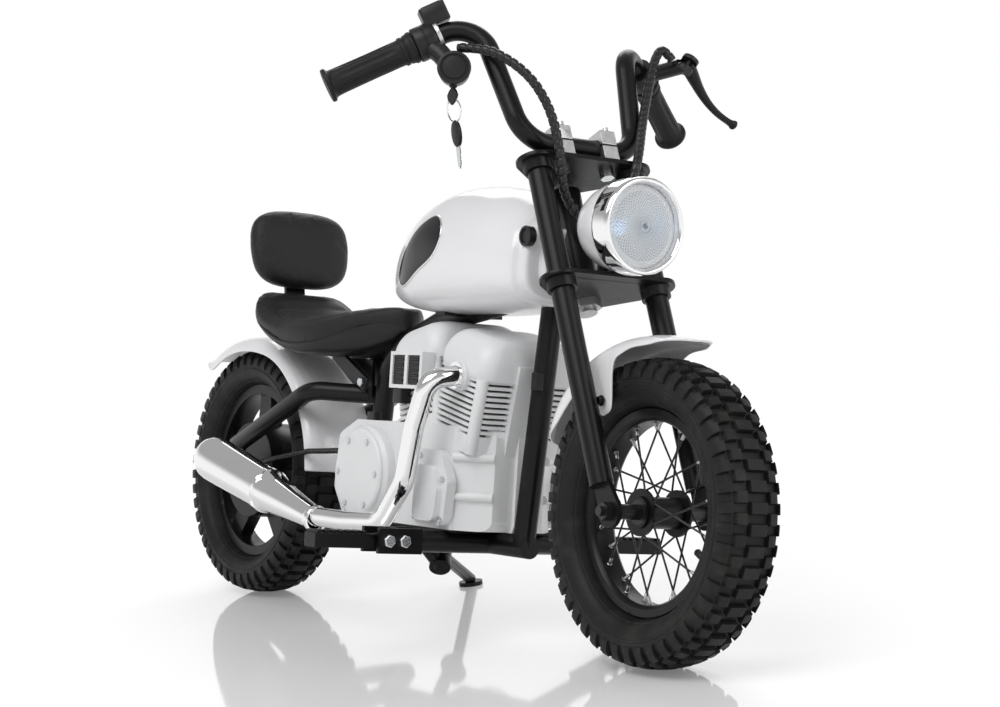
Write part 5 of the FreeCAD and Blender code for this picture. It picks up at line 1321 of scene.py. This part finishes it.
# Black clips on the case, on the down tube and under the air box: centre and half sizes
CLIPS = (
    ((-477, -61, 238), (9, 5, 8)), ((-215, -12, 290), (6, 5, 10)), ((-400, -72, 266), (9.5, 7, 8.5)),
)
CLIP_SOFT = 1.5
BIKE_AXES = [Vector(axis) for axis in ((1, 0, 0), (0, 1, 0), (0, 0, 1))]
SOCKET = Vector((-184.5, -59.4, 446))
SOCKET_CURVE = ((-6, 0), (-6, 11), (1.6, 11.4), (2.4, 10.8), (2.6, 8.4), (1.8, 8), (0.6, 7.6), (0.6, 0))
EAR_X = -49
EAR_Y = 45.8
EAR_Z = 272
EAR_BOLT = (
    (0, 0), (0, 5.6), (0.9, 5.9), (1.5, 5.4), (1.6, 4.4), (4.4, 4.4), (5.2, 3.8), (5.2, 2.3), (3.2, 2.1), (3.2, 0),
)


def fittings():
    """Charging socket cap, cap bolts of the fender ears, bolts of the peg brackets and black clips."""
    cap = Form().lathe(SOCKET_CURVE, SOCKET, (0, -1, 0), steps=40)
    cap.make("socket_cap", PLASTIC, "chassis", ["charge_socket"], sharp=40)
    ears, pegs, clips = Form(), Form(), Form()
    for side in (-1, 1):
        ears.lathe(EAR_BOLT, Vector((EAR_X, side * EAR_Y, EAR_Z)), (0, side, 0), steps=24)
    for y in PEG_BOLT_Y:
        for side in (-1, 1):
            pegs.hexagon((PEG_BOLT_X, side * y, PEG_BOLT_Z), (1, 0, 0), *PEG_BOLT)
    for centre, halves in CLIPS:
        clips.block(Vector(centre), BIKE_AXES, halves, CLIP_SOFT)
    ears.make("ear_bolts", POWDER, "steering", sharp=30)
    pegs.make("peg_bolts", ZINC, "chassis", bevel=0.4)
    clips.make("engine_clips", PLASTIC, "chassis", sharp=30)


fittings()

# Engine's two dummy cylinders: foot and tilt, and the core inside their fins, where a dark block paints the shade
# in the grooves
TOWERS = ((-308, 12), (-372, -12))
TOWER_FOOT_Z = 214.0
FIN_LOW = 18.0
FIN_HIGH = 83.0
FIN_CORE = (39.4, 59.4)
FIN_CORNER = 12


def fin_painted_shade():
    """Dark block inside the fins: painted shade on the floors of the grooves between them."""
    form = Form()
    plan = rounded_box(0, 0, *FIN_CORE, FIN_CORNER)
    for x, tilt in TOWERS:
        lean = Matrix.Rotation(math.radians(tilt), 4, "Y")
        foot = Vector((x, 0, TOWER_FOOT_Z))
        rows = [[foot + lean @ Vector((px, pz, rise)) for px, _, pz in plan] for rise in (FIN_LOW, FIN_HIGH)]
        form.skin(rows, ends=True)
    form.make("fin_shadow", PLASTIC, "chassis", sharp=60)


fin_painted_shade()

# Edges that are rounded on the solids themselves, by their width
ROUNDED_EDGES = {
    0.6: ("front_rim",),
    0.8: ("main_frame", "upper_clamp", "lower_clamp", "footpeg_right", "footpeg_left", "brake_caliper"),
    1.0: ("rear_rim", "bar_clamps", "brake_perch", "battery_pack", "motor_controller"),
    1.2: ("engine_case_right", "engine_case_left", "clutch_cover", "gear_cover", "air_box"),
}
for width, names in ROUNDED_EDGES.items():
    for name in names:
        weld = NODES[name].modifiers.new("weld", "WELD")
        weld.merge_threshold = DOUBLES
        soften(NODES[name], width)


# Studio

SURROUND_LIGHT = 0.55
CEILING_EDGE = (0.12, 0.42)
CEILING_LIGHT = 0.4
FLOOR_SIZE = 9
FLOOR_FADE = (1.0, 1.7)
FLOOR_GLOW = 0.16
# Soft boxes: name, place, aim, width, height and power
LAMPS = (
    ("key", (0.6, -1.6, 2.6), (0, 0, 0.3), 2.4, 1.6, 43),
    ("fill", (2.6, 0.9, 1.6), (0, 0, 0.35), 1.8, 1.8, 20),
    ("back", (-1.8, 1.7, 2.2), (0, 0, 0.3), 2.0, 1.6, 24),
)


def surround():
    """White surround as it is seen, mirrored and seen through glass, and a plain level of light."""
    world = bpy.data.worlds.new("surround")
    bpy.context.scene.world = world
    world.use_nodes = True
    seed = Sock(world.node_tree)
    straight, mirrored, through_glass = (
        seed.add("LightPath", output=f"Is {ray} Ray") for ray in ("Camera", "Glossy", "Transmission"))
    height = seed.add("SeparateXYZ", None, {0: seed.add("TexCoord", output="Generated")}, "Z")
    wall = 1 - height.band(*CEILING_EDGE)
    indirect = mirrored.most(through_glass)
    shown = straight.most(indirect * (wall * (1 - CEILING_LIGHT) + CEILING_LIGHT))
    lit = 1 - straight.most(indirect)
    background = world.node_tree.nodes["Background"].inputs
    seed.feed(background["Color"], rgba(1.0))
    seed.feed(background["Strength"], shown + lit * SURROUND_LIGHT)


def floor_finish():
    """Polished pale floor that mirrors the bike softly and fades out further off."""
    f = Finish("floor_gloss", roughness=0.5)
    seed = f.seed
    speck = seed.add("TexNoise", None, {"Vector": f.place(), "Scale": 3.0})
    f.set(base_color=speck.mix(0.86, 0.9))
    gloss = seed.add("BsdfGlossy", None, {"Color": rgba(0.95), "Roughness": 0.06})
    share = seed.add("LayerWeight", None, {"Blend": 0.35}, "Facing") * 0.5 + 0.1
    body = seed.add("MixShader", None, {0: share, 1: Sock(seed.tree, f.shader.outputs[0]), 2: gloss})
    glow = seed.add("Emission", None, {"Strength": FLOOR_GLOW})
    lifted = seed.add("AddShader", None, {0: body, 1: glow})
    straight = seed.add("LightPath", output="Is Camera Ray")
    seen = seed.add("MixShader", None, {0: straight, 1: body, 2: lifted})
    far = seed.add("VectorMath", {"operation": "LENGTH"}, {0: f.place()}, "Value").band(*FLOOR_FADE)
    fade = seed.add("MixShader", None, {0: far, 1: seen, 2: seed.add("BsdfTransparent")})
    seed.feed(seed.tree.nodes["Material Output"].inputs["Surface"], fade)
    return f.material


def studio():
    """Bright glossy floor, white surround and soft boxes."""
    scene = bpy.context.scene
    scene.view_settings.view_transform = "Standard"
    surround()
    bm = bmesh.new()
    bmesh.ops.create_grid(bm, x_segments=1, y_segments=1, size=FLOOR_SIZE)
    mesh = bpy.data.meshes.new("floor")
    bm.to_mesh(mesh)
    bm.free()
    floor = bpy.data.objects.new("floor", mesh)
    scene.collection.objects.link(floor)
    mesh.materials.append(floor_finish())
    for lamp in LAMPS:
        soft_box(*lamp)


def soft_box(name, place, aim, width, height, power):
    """A broad rectangular lamp turned to its aim."""
    data = bpy.data.lights.new(name, "AREA")
    data.shape = "RECTANGLE"
    data.size = width
    data.size_y = height
    data.energy = power
    obj = bpy.data.objects.new(name, data)
    bpy.context.scene.collection.objects.link(obj)
    obj.location = place
    obj.rotation_euler = (Vector(aim) - Vector(place)).to_track_quat("-Z", "Y").to_euler()


CAMERA_PLACE = (1.93666, -1.43053, 0.55986)
CAMERA_RIGHT = (0.55957, 0.82105, -0.11296)
CAMERA_UP = (-0.01215, 0.14441, 0.98945)
CAMERA_AHEAD = (-0.82869, 0.55229, -0.09078)
CAMERA_SENSOR = 36
CAMERA_LENS = 85.72
CAMERA_NEAR = 0.05


def camera():
    """The photograph's viewpoint, found from both wheels and mirror pairs of the bike."""
    data = bpy.data.cameras.new("camera")
    data.sensor_width = CAMERA_SENSOR
    data.lens = CAMERA_LENS
    data.clip_start = CAMERA_NEAR
    obj = bpy.data.objects.new("camera", data)
    bpy.context.scene.collection.objects.link(obj)
    turn = Matrix((CAMERA_RIGHT, CAMERA_UP, [-c for c in CAMERA_AHEAD])).transposed()
    obj.rotation_mode = "QUATERNION"
    obj.rotation_quaternion = turn.to_quaternion()
    obj.location = SHIFT + Vector(CAMERA_PLACE)
    bpy.context.scene.camera = obj


studio()
camera()
